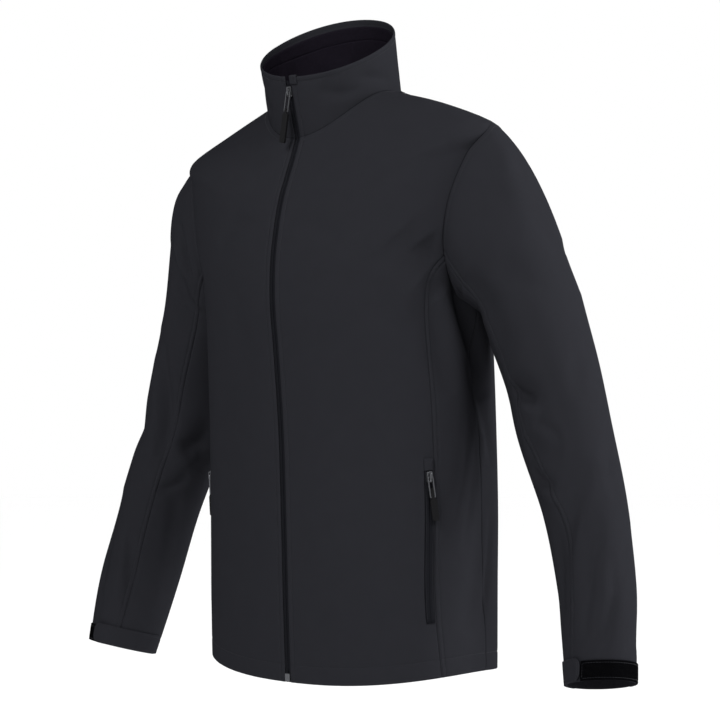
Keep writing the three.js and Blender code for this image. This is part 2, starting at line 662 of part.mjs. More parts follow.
function pullGeometry() {
  const frame = rounded(-PULL.width / 2, -PULL.length, PULL.width / 2, BAR.half, 1.4);
  const side = PULL.width / 2 - PULL.rail;
  frame.holes.push(rounded(-side, -PULL.length + PULL.foot, side, -BAR.half, 0.5));
  return solidOf(frame, -PULL.thick / 2, PULL.thick / 2);
}

function pullerGeometry({ top, end }) {
  const neck = rounded(-PULLER.neck / 2, -PULLER.shoulder - 1, PULLER.neck / 2, -top, 0.6);
  const body = rounded(-PULLER.width / 2, -end, PULLER.width / 2, -PULLER.shoulder, 2.4);
  const half = PULLER.thick / 2;
  const slot = rounded(
    -PULL.width / 2 - 1,
    -PULL.length - GAP,
    PULL.width / 2 + 1,
    -PULL.length + PULL.foot + GAP,
    0.2,
  );
  const clear = PULL.thick / 2 + GAP;
  const whole = toManifold(solidOf(body, -half, half)).add(toManifold(solidOf(neck, -half, half)));
  return fromManifold(whole.subtract(toManifold(solidOf(slot, -clear, clear))));
}

// Stands hardware on the cloth: up the zip's own line, or plumb if it hangs
function standing(geometry, hinge, out, up) {
  const across = new THREE.Vector3().crossVectors(up, out).normalize();
  const upwards = new THREE.Vector3().crossVectors(out, across).normalize();
  const turnTo = new THREE.Matrix4().makeBasis(across, upwards, out).setPosition(hinge);
  return geometry.applyMatrix4(turnTo);
}

const looks = {
  shell_cloth: new THREE.MeshStandardMaterial({ color: 0x26272b, roughness: 0.82, metalness: 0 }),
  lining_cloth: new THREE.MeshStandardMaterial({ color: 0x1d1b22, roughness: 0.95, metalness: 0 }),
  zip_tape: new THREE.MeshStandardMaterial({ color: 0x17171a, roughness: 0.85, metalness: 0 }),
  zip_coil: new THREE.MeshStandardMaterial({ color: 0x101012, roughness: 0.5, metalness: 0 }),
  grey_metal: new THREE.MeshStandardMaterial({ color: 0x9a9a9e, roughness: 0.35, metalness: 1 }),
  puller_rubber: new THREE.MeshStandardMaterial({ color: 0x0d0d0e, roughness: 0.6, metalness: 0 }),
  loop_tape: new THREE.MeshStandardMaterial({ color: 0x0a0a0b, roughness: 1, metalness: 0 }),
};

const jacket = new THREE.Group();
jacket.name = "softshell_jacket";

function add(name, geometry, slot) {
  const mesh = new THREE.Mesh(geometry, looks[slot].clone());
  mesh.name = name;
  mesh.material.name = slot;
  jacket.add(mesh);
}

const panel = (name, rows) => add(name, wall(setBack(rows), CLOTH), "shell_cloth");
const strip = (name, rows, lift, thickness, slot) => add(name, wall(lifted(rows, lift), thickness), slot);

// A slider on a spot of the cloth, with its pull and puller hanging from it, a little out of plumb
function addZipHead(name, spot, above, floor, axisLift, puller, side) {
  const up = above.point.clone().sub(spot.point).normalize();
  const hinge = spot.point.clone().addScaledVector(spot.out, axisLift);
  const level = spot.out.clone().setZ(0).normalize();
  const hang = new THREE.Vector3(0, 0, 1).applyAxisAngle(level, side * puller.tilt);
  add(`${name}_slider`, standing(sliderGeometry(floor - axisLift), hinge, spot.out, up), "grey_metal");
  add(`${name}_pull`, standing(pullGeometry(), hinge, level, hang), "grey_metal");
  add(`${name}_puller`, standing(pullerGeometry(puller), hinge, level, hang), "puller_rubber");
}

panel("back", backRows());
panel("collar", collarRows(steps(0, 1, COLLAR_ROWS), NECK_TURNS));
const liningRows = collarRows([0.04, ...steps(0, 1, COLLAR_ROWS).slice(1, -1), 0.9], NECK_TURNS.slice(2, -2));
strip("collar_lining", liningRows, -(CLOTH + GAP), LINING, "lining_cloth");
strip("chin_guard", chinGuardRows(), 0, TRIM, "shell_cloth");

for (const [side, hand] of [[1, "left"], [-1, "right"]]) {
  panel(`front_${hand}`, frontRows(side));
  panel(`side_${hand}`, sideRows(side));
  panel(`sleeve_upper_${hand}`, sleeveRows(side, REACHES, UPPER_ANGLES));
  panel(`sleeve_under_${hand}`, sleeveRows(side, REACHES, UNDER_SLEEVE_ANGLES));
  const tapeRows = centreRows(side, [GAP / 2, ZIP_HALF_GAP, TAPE_HALF_WIDTH], 0.93);
  strip(`zip_tape_${hand}`, tapeRows, -(CLOTH + GAP), TAPE, "zip_tape");

  const pocketLevels = steps(POCKET.bottom, POCKET.top, POCKET.rows);
  const pocketZipRows = pocketRows(side, pocketLevels, [POCKET.near, POCKET.far]);
  strip(`pocket_zip_${hand}`, pocketZipRows, GAP + TAPE, TAPE, "zip_tape");
  const garageLevels = [POCKET.garageFoot, POCKET.garageTop];
  const garageRows = pocketRows(side, garageLevels, [POCKET.near - POCKET.brim, POCKET.far + POCKET.brim]);
  strip(`pocket_garage_${hand}`, garageRows, 2 * GAP + TAPE + TRIM, TRIM, "shell_cloth");
  const middle = [(POCKET.near + POCKET.far) / 2];
  const [[spot], [above]] = pocketRows(side, [POCKET.slider, POCKET.slider + 0.01], middle);
  const onZip = 2 * GAP + TAPE;
  addZipHead(`pocket_${hand}`, spot, above, onZip, onZip + SLIDER.thick + BAR.clear, POCKET_PULLER, side);

  const ring = [...UPPER_ANGLES, ...UNDER_SLEEVE_ANGLES.slice(1)];
  const loopRows = sleeveRows(side, [CUFF.loopTop, 1], ring.slice(CUFF.loopFrom, CUFF.loopTo));
  strip(`cuff_loop_${hand}`, loopRows, GAP + TRIM, TRIM, "loop_tape");
  const tabEnd = side > 0 ? CUFF.leftTabTo : CUFF.rightTabTo;
  const tabAngles = [...ring.slice(CUFF.tabFrom, -1), ...ring.slice(0, tabEnd).map((angle) => angle + TURN)];
  const over = 2 * GAP + 2 * TRIM;
  const tabRows = sleeveRows(side, [CUFF.tabTop, 1], tabAngles).map((row) =>
    row.map(({ point, out }, c) => {
      const onLoop = tabAngles[c] > TURN + ring[CUFF.loopFrom] - 0.01;
      return { point: point.clone().addScaledVector(out, onLoop ? over : GAP + TRIM), out };
    }),
  );
  strip(`cuff_tab_${hand}`, tabRows, 0, TRIM, "shell_cloth");
}

const coilRows = centreRows(1, [-COIL_WIDTH / 2, COIL_WIDTH / 2], 0.9);
strip("zip_coil", coilRows, -(CLOTH + 2 * GAP + TAPE), COIL, "zip_coil");
const onTape = -CLOTH;
const zipTop = [collarSpot(0, MAIN_SLIDER_SHARE), collarSpot(0, MAIN_SLIDER_SHARE + 0.07)];
addZipHead("zip", ...zipTop, onTape, onTape + SLIDER.thick + BAR.clear, MAIN_PULLER, -1);
const foot = torsoSpot(0, 0.008);
const footUp = torsoPoint(0, 0.03).sub(foot.point).normalize();
const boxGeometry = solidOf(rounded(-SLIDER.width / 2, -4, SLIDER.width / 2, 5, 1), onTape, onTape + 2.2);
add("zip_box", standing(boxGeometry, foot.point, foot.out, footUp), "grey_metal");

export default jacket;
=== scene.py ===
"""The looks of a zipped softshell jacket, filled out as if it were worn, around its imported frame.

Shapes are worked out in millimetres, in the frame's own axes: the front faces -Y, the wearer's left is +X,
and the origin is the middle of the neck. They become metres when a mesh is made.
"""

import math
from functools import partial

import bpy
import numpy as np
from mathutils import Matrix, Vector
from mathutils.kdtree import KDTree


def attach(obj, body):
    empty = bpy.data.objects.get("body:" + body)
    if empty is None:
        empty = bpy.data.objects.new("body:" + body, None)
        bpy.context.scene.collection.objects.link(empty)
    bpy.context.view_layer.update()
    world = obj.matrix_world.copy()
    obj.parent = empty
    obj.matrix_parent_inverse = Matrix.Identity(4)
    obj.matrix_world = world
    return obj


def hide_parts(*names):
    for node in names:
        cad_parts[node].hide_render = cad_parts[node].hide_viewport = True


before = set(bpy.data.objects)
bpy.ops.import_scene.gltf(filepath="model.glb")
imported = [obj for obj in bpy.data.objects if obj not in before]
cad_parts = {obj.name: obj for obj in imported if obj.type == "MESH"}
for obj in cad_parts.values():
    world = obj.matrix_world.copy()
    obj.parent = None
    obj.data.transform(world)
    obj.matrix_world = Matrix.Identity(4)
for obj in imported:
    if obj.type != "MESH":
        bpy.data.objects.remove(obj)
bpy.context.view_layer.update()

MM = 0.001
GARMENT = "garment"
HANDS = {1: "left", -1: "right"}


def placed(name, data):
    """A new object in the scene, with this data."""
    item = bpy.data.objects.new(name, data)
    bpy.context.scene.collection.objects.link(item)
    return item


# Camera, calibrated on the photograph
CAMERA_AZIMUTH = math.radians(38.5)
CAMERA_DISTANCE = 2.35
CAMERA_HEIGHT = -0.44
FOCAL_PX = 1940.0
PICTURE_PX = 720.0
AXIS_COLUMN_PX = 331.0
HORIZON_ROW_PX = 463.0
SENSOR_MM = 36.0
CLIP_END = 60.0


def add_camera():
    data = bpy.data.cameras.new("camera")
    data.sensor_fit = "HORIZONTAL"
    data.sensor_width = SENSOR_MM
    data.lens = FOCAL_PX / PICTURE_PX * SENSOR_MM
    data.clip_end = CLIP_END
    camera = placed("camera", data)
    sin_a, cos_a = math.sin(CAMERA_AZIMUTH), math.cos(CAMERA_AZIMUTH)
    camera.location = (CAMERA_DISTANCE * sin_a, -CAMERA_DISTANCE * cos_a, CAMERA_HEIGHT)
    right = Vector((cos_a, sin_a, 0.0))
    ahead = Vector((-sin_a, cos_a, 0.0))
    to_right = (PICTURE_PX / 2 - AXIS_COLUMN_PX) / FOCAL_PX
    upwards = (HORIZON_ROW_PX - PICTURE_PX / 2) / FOCAL_PX
    aim = ahead + right * to_right + Vector((0.0, 0.0, upwards))
    camera.rotation_euler = aim.to_track_quat("-Z", "Y").to_euler()
    bpy.context.scene.camera = camera


# How thick each cloth is, and the gap that is left where two pieces meet
CLOTH = 1.8
LINING = 1.2
TAPE = 1.0
TRIM = 1.4
GAP = 0.3


def table(columns, *rows):
    """A table from its columns' names and its rows of numbers."""
    return {name: np.array([row[i] for row in rows], float) for i, name in enumerate(columns.split())}


# The torso, section by section from the hem to the neck seam
TORSO = table(
    "level sideX sideY sideZ frontY frontZ backY backZ square lean dip",
    [0.0, 191, 42, -675.5, -81, -696, 160, -688, 2.3, 5.5, 1.8],
    [0.15, 190, 41, -586, -86, -601, 166, -595, 2.3, 2, 2],
    [0.3, 189, 41, -492, -90, -502, 172, -499, 2.3, 0, 2],
    [0.45, 187, 38, -396, -95, -402, 174, -400, 2.3, 0, 2],
    [0.59, 186, 35, -299, -105, -304, 172, -300, 2.25, 0, 2],
    [0.66, 187, 32, -248, -111, -256, 167, -250, 2.2, 0, 2],
    [0.74, 198, 28, -190, -111, -209, 160, -203, 2.2, 0, 2],
    [0.82, 210, 24, -132, -105, -167, 148, -150, 2.15, 0, 2],
    [0.89, 221, 22, -79, -96, -130, 134, -100, 2.1, 0, 2],
    [0.94, 223, 19, -49, -85, -102, 117, -58, 2.1, -2, 2],
    [0.97, 156, 13, -19, -74, -76, 98, -12, 2.1, -3, 2],
    [1.0, 86, 7, 5, -65, -52, 77, 28, 2.05, 0, 2],
)
RING_COLUMNS = [name for name in TORSO if name != "level"]
COLLAR = dict(
    sideX=84, sideY=-8, sideZ=66, frontY=-85, frontZ=18, backY=70, backZ=114.5, square=2.05, lean=11, dip=1
)
ARMHOLE_TURN, ARMHOLE_HALF_TURN = math.radians(92), math.radians(25)
ARMHOLE_LEVEL, ARMHOLE_HALF_LEVEL = 0.8, 0.14
FRONT_JUNCTION, SIDE_JUNCTION, SHOULDER = math.radians(-32), math.radians(266), math.radians(90)
FRONT_SEAM = table(
    "level left right",
    [0.0, 64.8, 69.5],
    [0.14, 62.5, 69],
    [0.3, 63.5, 71],
    [0.45, 64.1, 71.7],
    [0.55, 63.7, 71],
    [0.6, 63.3, 70.4],
    [0.66, 63.5, 69.2],
    [0.69, 64.9, 69.3],
    [0.726, 70.8, 70.8],
)
SIDE_SEAM_TURN = math.radians(93)
SLEEVE = table(
    "along x y z wide narrow twist",
    [0.0, 250.5, 58.5, -262, 68.7, 57.2, 0],
    [0.185, 275.5, 62.5, -338, 64.2, 55.2, 20],
    [0.335, 294, 57.5, -400, 57.2, 54.2, 45],
    [0.553, 326.5, 48.5, -490, 53.2, 47.7, 45],
    [0.759, 348.5, 36.5, -577, 52.2, 43.2, 45],
    [0.872, 356.5, 27, -626, 49.5, 41, 45],
    [1.0, 364.7, 16.5, -682.5, 44.5, 38.5, 45],
)
ARM_LENGTH, HEAD_LENGTH, HEAD_REACH, HEAD_FADE = 447, 230, 0.95, 0.25
# The way that a sleeve's head leaves the top of the armhole, and its lean to the front
HEAD_TOP_WAY, HEAD_LEAN = np.array([0.74, 0.0, -0.67]), np.array([0.0, -0.25, 0.0])
SEAM_SWAY = table(
    "along left right",
    [0.0, 0, 0],
    [0.35, 3, 4],
    [0.6, 24, 0],
    [0.8, 16, -3],
    [1.0, 3, 0],
)
# The corners of the sleeve's upper piece round the arm, where its two seams are
UPPER_FROM = FRONT_JUNCTION
BACK_STEPS, BACK_STEP_COUNT = 5, 14
UPPER_TO = SHOULDER + (SIDE_JUNCTION - SHOULDER) * BACK_STEPS / BACK_STEP_COUNT

# The largest folds. Each row holds two numbers for the place where a fold starts, two for the place where it
# ends, and then, in millimetres, how far it bows sideways, its width, and its depth, or how far it sinks.
# On the torso a place is the turn in degrees and the level, on a sleeve the angle and the reach.
TORSO_FOLDS = [
    [90, 0.54, 73, 0.2, 10, 22, 5],
    [98, 0.42, 81, 0.07, 8, 20, 4],
    [67, 0.69, 75, 0.5, -6, 20, 6],
    [46, 0.77, 60, 0.69, 5, 30, 5],
    [23, 0.62, 31, 0.22, 8, 36, 2.5],
    [-27, 0.6, -19, 0.16, -10, 36, 2.5],
    [-88, 0.57, -71, 0.27, -9, 22, 5],
    [-97, 0.38, -84, 0.09, -6, 22, 4],
    [-65, 0.7, -72, 0.53, 6, 20, 6],
    [-50, 0.75, -61, 0.7, -4, 26, 4],
    [122, 0.73, 139, 0.53, 9, 26, 6],
    [-121, 0.71, -142, 0.5, -8, 25, 6],
    [151, 0.7, 163, 0.33, 12, 34, 5],
    [-149, 0.66, -160, 0.27, -10, 32, 5],
    [176, 0.4, 138, 0.34, -9, 26, 4],
    [-171, 0.34, -136, 0.43, 8, 24, 4],
    [168, 0.22, 174, 0.03, 4, 26, 3],
]
LEFT_SLEEVE_FOLDS = [
    [-26, -0.5, -8, 0.14, 8, 24, 6],
    [-38, 0.2, 8, 0.33, -7, 18, 6],
    [-30, 0.36, 24, 0.42, 8, 17, 4.5],
    [48, 0.47, -26, 0.78, 10, 17, 4],
    [103, 0.6, 56, 0.8, -6, 16, 4],
    [60, -0.72, 96, -0.2, 9, 26, 3.5],
    [150, 0.24, 207, 0.33, 8, 19, 6],
    [158, 0.44, 214, 0.38, -7, 17, 5],
    [176, -0.55, 160, 0.02, -9, 24, 5],
    [200, 0.55, 166, 0.85, 7, 17, 4],
]
RIGHT_SLEEVE_FOLDS = [
    [8, -0.56, -9, -0.24, 4, 17, 6.5],
    [-30, -0.45, -12, 0.12, -8, 22, 5],
    [31, 0.02, -22, 0.44, 8, 19, 5],
    [-78, 0.27, -40, 0.37, 6, 22, 7],
    [20, 0.4, 64, 0.3, 7, 18, 4],
    [-84, 0.7, -92, 0.91, 3, 16, 4],
    [44, 0.55, 12, 0.84, -8, 18, 3.5],
    [144, 0.2, 203, 0.3, -7, 19, 6],
    [164, 0.4, 216, 0.45, 6, 17, 5],
    [184, -0.5, 166, 0.08, 8, 24, 5],
    [194, 0.6, 160, 0.8, -6, 16, 4],
]
# Finer creases, and the ridges beside them, whose depth is below zero
TORSO_CREASES = [
    [76, 0.72, 100, 0.5, 3, 14, 15],
    [86, 0.57, 104, 0.38, 5, 12, 8.1],
    [59, 0.755, 71, 0.66, 5, 17, 9],
    [42, 0.71, 58, 0.63, 6, 13, -2.2],
    [93, 0.47, 79, 0.22, 8, 8, 3.5],
    [86, 0.48, 73, 0.27, 8, 8, -2.7],
    [101, 0.31, 89, 0.07, 6, 8, 3.5],
    [31, 0.955, 60, 0.925, 4, 13, 2],
    [10, 0.83, 24, 0.77, 5, 15, 1.6],
    [-12, 0.86, -26, 0.79, -5, 14, 1.9],
    [-22, 0.71, -13, 0.53, 5, 14, 2.2],
    [-58, 0.74, -74, 0.65, -5, 13, 5.4],
    [-84, 0.62, -101, 0.41, -5, 11, 8.1],
    [-92, 0.45, -79, 0.24, -7, 8, 3.2],
    [-86, 0.4, -76, 0.2, -6, 8, -2.4],
    [-101, 0.28, -90, 0.06, -5, 9, 3.4],
    [121, 0.71, 141, 0.59, 5, 10, 4.7],
    [126, 0.64, 150, 0.5, 6, 10, -3],
    [-123, 0.7, -144, 0.56, -6, 10, 4.6],
    [-128, 0.62, -150, 0.47, -5, 11, -3],
    [158, 0.87, 178, 0.79, 5, 12, 2.7],
    [-157, 0.89, -176, 0.82, -5, 12, 3],
    [146, 0.45, 173, 0.37, 7, 11, 4.1],
    [152, 0.38, 178, 0.31, 6, 12, -2.7],
    [-144, 0.31, -170, 0.38, -6, 11, 4.1],
    [128, 0.31, 147, 0.11, 6, 10, 3.2],
    [-126, 0.35, -143, 0.13, -6, 10, 3.5],
]
LEFT_SLEEVE_CREASES = [
    [-64, -0.8, -60, 0.06, 4, 12, 8.7],
    [-42, -0.55, -30, 0.1, -6, 10, -4.3],
    [-32, 0.215, 2, 0.275, 5, 7, 6.5],
    [-26, 0.26, 8, 0.315, 5, 7, -3.5],
    [-6, 0.33, 22, 0.4, -4, 8, 3.5],
    [-38, 0.425, -4, 0.505, 5, 8, 5.2],
    [-34, 0.475, 0, 0.555, 5, 8, -2.9],
    [54, 0.5, -10, 0.8, 8, 8, -3.2],
    [50, 0.61, 6, 0.9, 6, 8, 3.8],
    [60, 0.71, 30, 0.93, -5, 9, 3.5],
    [-16, 0.6, -36, 0.84, 5, 8, 3.5],
    [70, -0.9, 60, -0.5, 4, 16, -1.6],
    [24, -0.36, 52, -0.02, 8, 13, 2.2],
    [82, 0.12, 56, 0.3, 6, 12, 2.3],
    [118, -0.32, 150, 0.04, 6, 12, 3.8],
    [138, 0.3, 188, 0.36, 6, 8, 5.1],
    [148, 0.365, 194, 0.425, -5, 8, -2.9],
    [172, 0.5, 138, 0.73, 6, 9, 3.8],
    [204, 0.14, 230, 0.24, 5, 8, 4.3],
    [152, 0.79, 118, 0.93, 4, 9, 3.2],
    [98, 0.4, 74, 0.57, 5, 10, 2.9],
]
RIGHT_SLEEVE_CREASES = [
    [32, -0.75, -14, -0.66, 5, 8, 7.2],
    [38, -0.62, -6, -0.55, 5, 9, -4.3],
    [62, -0.84, 44, -0.5, 5, 12, -2.0],
    [84, -1.0, 74, -0.5, 0, 26, -4.5],
    [20, 0.05, -22, 0.42, 8, 8, 4.3],
    [37, 0.1, -4, 0.47, 8, 9, -3.5],
    [-76, 0.3, -44, 0.36, 5, 12, 5.5],
    [-70, 0.36, -36, 0.42, 4, 8, -3.5],
    [-66, 0.43, -28, 0.51, 5, 8, 5.2],
    [-56, 0.5, -76, 0.73, 5, 10, 5.8],
    [-8, 0.66, -34, 0.91, 5, 9, 3.8],
    [8, 0.62, -16, 0.87, 5, 9, -2.9],
    [36, 0.7, 12, 0.92, -4, 9, 3.2],
    [84, 0.1, 60, 0.28, 6, 12, 2.6],
    [120, -0.24, 154, 0.1, 6, 12, 3.8],
    [136, 0.26, 184, 0.34, 6, 8, 4.9],
    [146, 0.335, 190, 0.4, -5, 8, -2.9],
    [168, 0.52, 138, 0.71, 6, 9, 3.8],
    [98, 0.33, 70, 0.5, 5, 10, 2.9],
    [206, 0.2, 232, 0.28, 5, 8, 4.3],
    [146, 0.8, 116, 0.93, 4, 9, 3.2],
]
COLLAR_CREASES = [
    [60, 0.3, 27, 0.72, 5, 8, 2.2],
    [92, 0.26, 58, 0.7, 5, 9, 2],
    [-26, 0.34, -58, 0.76, 5, 8, 2.3],
    [-84, 0.3, -104, 0.72, 5, 10, 1.8],
    [128, 0.3, 152, 0.7, 5, 9, 2],
    [-132, 0.66, -160, 0.34, 5, 9, 2],
    [172, 0.7, 190, 0.35, 4, 10, 1.6],
]
SLEEVE_FOLDS = {1: LEFT_SLEEVE_FOLDS + LEFT_SLEEVE_CREASES, -1: RIGHT_SLEEVE_FOLDS + RIGHT_SLEEVE_CREASES}
# Millimetres to one degree, and up the whole height, as the folds' places are read
TORSO_DEGREE, TORSO_HEIGHT, SLEEVE_DEGREE = 3.1, 680, 0.95
COLLAR_DEGREE, COLLAR_HEIGHT = 1.45, 75


def curve(rows, name, at):
    """A smooth curve through one column of a table, over its first column."""
    keys, values = next(iter(rows.values())), rows[name]
    at = np.asarray(at, float)
    i = np.clip(np.searchsorted(keys, at, side="left") - 1, 0, len(keys) - 2)
    before, after = np.maximum(i - 1, 0), np.minimum(i + 2, len(keys) - 1)
    span = keys[i + 1] - keys[i]
    into = (values[i + 1] - values[before]) / (keys[i + 1] - keys[before]) * span
    out_of = (values[after] - values[i]) / (keys[after] - keys[i]) * span
    t = (at - keys[i]) / span
    rise = t * t * (3 - 2 * t)
    bend = into * t * (1 - t) ** 2 - out_of * t * t * (1 - t)
    return values[i] * (1 - rise) + values[i + 1] * rise + bend


def unit(vectors):
    return vectors / np.maximum(np.linalg.norm(vectors, axis=-1, keepdims=True), 1e-9)


def ring_point(section, turn):
    """Points of a ring at turns from the centre front towards the wearer's left."""
    power = 2 / section["square"]
    across, forward = np.sin(turn), np.cos(turn)
    end_y = np.where(forward > 0, section["frontY"], section["backY"])
    end_z = np.where(forward > 0, section["frontZ"], section["backZ"])
    share = np.sign(across) * np.abs(across) ** power
    x = section["sideX"] * share
    y = section["sideY"] + (end_y - section["sideY"]) * np.abs(forward) ** power
    z = section["sideZ"] + (end_z - section["sideZ"]) * np.abs(forward) ** section["dip"]
    z = z - section["lean"] * share
    return np.stack(np.broadcast_arrays(x, y, z), axis=-1)


def relief(folds, a, b, per_a, per_b):
    """How far the folds lift the cloth; per_a and per_b turn a place's two numbers into millimetres."""
    height = np.zeros(np.broadcast(a, b).shape)
    for from_a, from_b, to_a, to_b, bow, width, depth in folds:
        here_x = ((a - from_a + 180) % 360 - 180) * per_a
        here_y = (b - from_b) * per_b
        line_x, line_y = (to_a - from_a) * per_a, (to_b - from_b) * per_b
        square = line_x**2 + line_y**2
        t = np.clip((here_x * line_x + here_y * line_y) / square, 0, 1)
        long = math.sqrt(square)
        side = bow * 4 * t * (1 - t)
        off_x = line_x * t - line_y / long * side - here_x
        off_y = line_y * t + line_x / long * side - here_y
        height -= depth * np.sin(math.pi * t) ** 0.6 * np.exp(-(off_x**2 + off_y**2) / width**2)
    return height

def facing(surface, a, b):
    """The way out of a surface, from points a little along each way."""
    step = 0.004
    along_a = surface(a + step, b) - surface(a - step, b)
    along_b = surface(a, b + step) - surface(a, b - step)
    return unit(np.cross(along_a, along_b))


# The ways out are read no nearer a surface's ends than this
TOP_LEVEL, FIRST_REACH = 0.995, -0.99


def torso_section(level):
    return {name: curve(TORSO, name, level) for name in RING_COLUMNS}


def smooth_torso(turn, level):
    return ring_point(torso_section(level), turn)


def torso_point(turn, level):
    lift = relief(TORSO_FOLDS + TORSO_CREASES, np.degrees(turn), level, TORSO_DEGREE, TORSO_HEIGHT)
    out = facing(smooth_torso, turn, np.minimum(level, TOP_LEVEL))
    return smooth_torso(turn, level) + out * lift[..., None]


def torso_facing(turn, level):
    return facing(torso_point, turn, np.minimum(level, TOP_LEVEL))


def smooth_collar(turn, share):
    foot = torso_point(turn, np.ones_like(turn))
    share = np.asarray(share)[..., None]
    return foot * (1 - share) + ring_point(COLLAR, turn) * share


def collar_point(turn, share):
    lift = relief(COLLAR_CREASES, np.degrees(turn), share, COLLAR_DEGREE, COLLAR_HEIGHT)
    return smooth_collar(turn, share) + facing(smooth_collar, turn, share) * lift[..., None]


def collar_facing(turn, share):
    return facing(collar_point, turn, share)


def armhole_turn(angle):
    return ARMHOLE_TURN - ARMHOLE_HALF_TURN * np.cos(angle)


def armhole_level(angle):
    return ARMHOLE_LEVEL + ARMHOLE_HALF_LEVEL * np.sin(angle)


def sleeve_centre(along):
    return np.stack([curve(SLEEVE, name, along) for name in ("x", "y", "z")], axis=-1)


def sleeve_ring(along):
    """The frame of a ring of the left sleeve: its centre, and the ways down, forward and outward."""
    down = unit(sleeve_centre(along + 0.01) - sleeve_centre(along - 0.01))
    forward = np.array([0.0, -1.0, 0.0])
    forward = unit(forward - down * (down @ forward)[..., None])
    return sleeve_centre(along), down, forward, np.cross(forward, down)


def arm_point(angle, along):
    centre, _, forward, outward = sleeve_ring(along)
    twist = np.radians(curve(SLEEVE, "twist", along))
    wide = curve(SLEEVE, "wide", along) * np.cos(angle - twist)
    narrow = curve(SLEEVE, "narrow", along) * np.sin(angle - twist)
    ahead = wide * np.cos(twist) - narrow * np.sin(twist)
    aside = wide * np.sin(twist) + narrow * np.cos(twist)
    return centre + forward * ahead[..., None] + outward * aside[..., None]


def head_point(side, angle, share):
    """The sleeve's head, which curves from the armhole over to the top ring of the arm."""
    start_at = torso_point(side * armhole_turn(angle), armhole_level(angle))
    zero = np.zeros_like(angle)
    down = sleeve_ring(zero)[1]
    end_at = arm_point(angle, zero) * [side, 1, 1]
    reach = np.linalg.norm(start_at - end_at, axis=-1, keepdims=True) * HEAD_REACH
    up = ((1 + np.sin(angle)) / 2)[..., None]
    start = HEAD_TOP_WAY * up + down * (1 - up)
    start = unit(start + HEAD_LEAN * np.cos(angle)[..., None]) * reach * [side, 1, 1]
    end = down * reach * [side, 1, 1]
    t = share[..., None]
    return (
        start_at * (2 * t**3 - 3 * t**2 + 1)
        + start * (t**3 - 2 * t**2 + t)
        + end_at * (3 * t**2 - 2 * t**3)
        + end * (t**3 - t**2)
    )


def smooth_sleeve(side, angle, reach):
    """A whole sleeve: reach runs from -1 at the armhole through 0 under the head to 1 at the cuff."""
    angle, reach = np.broadcast_arrays(angle, reach)
    arm = arm_point(angle, np.maximum(reach, 0)) * [side, 1, 1]
    head = head_point(side, angle, np.clip(reach + 1, 0, 1))
    return np.where((reach < 0)[..., None], head, arm)


def sleeve_point(side, angle, reach):
    on_head, on_arm = (
        relief(SLEEVE_FOLDS[side], np.degrees(angle), reach, SLEEVE_DEGREE, length)
        for length in (HEAD_LENGTH, ARM_LENGTH)
    )
    fade = np.clip((reach + 1) / HEAD_FADE, 0, 1)
    lift = np.where(reach < 0, on_head, on_arm) * fade * fade * (3 - 2 * fade)
    out = facing(partial(smooth_sleeve, side), angle, np.maximum(reach, FIRST_REACH)) * -side
    return smooth_sleeve(side, angle, reach) + out * lift[..., None]


def sleeve_facing(side, angle, reach):
    return facing(partial(sleeve_point, side), angle, np.maximum(reach, FIRST_REACH)) * -side


def turn_at(x, level):
    """The turn at which the torso, at a level, comes to a distance from the centre line."""
    section = torso_section(level)
    return np.arcsin((x / section["sideX"]) ** (section["square"] / 2))


def front_seam_turn(side, level):
    return np.radians(curve(FRONT_SEAM, HANDS[side], level))


def side_seam_turn(level):
    end, top = armhole_turn(SIDE_JUNCTION), armhole_level(SIDE_JUNCTION)
    return SIDE_SEAM_TURN + (end - SIDE_SEAM_TURN) * (level / top) ** 2


# Grids of cloth. The columns and rows of the lists lie at these distances in from an edge, in millimetres.
SHELL_STEP = 4.2
SEAM_COLUMNS = [0, 0.35, 0.8, 1.3, 1.9, 2.6, 3.5, 4.4, 5.0, 5.5, 6.0, 6.6, 7.6, 9.5]
ZIP_COLUMNS = [0, 0.3, 0.7, 1.2, 2.0, 3.2, 4.6, 5.6, 6.2, 6.8, 7.6, 9.0, 11.5]
POCKET_COLUMNS = [0, 0.4, 0.8, 1.2, 1.6, 2.0, 2.4, 2.8, 3.4, 4.6, 6, 7.5, 9, 10]
POCKET_COLUMNS += [10.5, 11, 11.5, 12, 12.6, 13.4, 15, 17.5]
HEM_ROWS = [0, 0.4, 0.9, 1.6, 3, 6, 10, 14, 17.5, 19.2, 20, 20.7, 21.5, 22.8, 25.5]
NECK_ROWS = [9.5, 7, 5.5, 4.5, 3, 1.8, 1, 0.4, 0]
SIDE_TOP_ROWS = [6, 4, 2.6, 1.6, 0.8, 0.3, 0]
HEAD_ROWS = [0, 0.5, 1.2, 2, 3.2, 4.6, 6, 7.5]
COLLAR_FOOT_ROWS = [0, 0.4, 1, 2, 3.5, 5, 7]
COLLAR_TOP_ROWS = [9, 7.6, 6.9, 6.3, 5.7, 5, 3.6, 2.2, 1.2, 0.5, 0]
# The millimetres that such a list takes one level, share or reach to be
FRONT_MM_PER_LEVEL, NECK_MM_PER_LEVEL, HEAD_MM_PER_REACH = 650.0, 900.0, 120.0
SIDE_HEIGHT, SIDE_TOP_LEVEL = 450.0, 0.69
# Between the lists the rows are even, up to this level, and this far apart above the armhole and on the head
EVEN_TO, SHOULDER_STEP, HEAD_STEP = 0.99, 0.006, 0.024
ARMHOLE_STEP = math.radians(2.4)
ZIP_HALF_GAP = 4.0
HEM_STITCH = 20.5
POCKET = dict(bottom=0.102, top=0.3894, near=2.0, far=11.0, garageFoot=0.3709, garageTop=0.3934)
POCKET_DEGREE = 2.2


def even(start, end, step):
    """Numbers from start to end, both left out, about a step apart."""
    count = max(int(round(abs(end - start) / step)), 1)
    return list(np.linspace(start, end, count + 1)[1:-1])


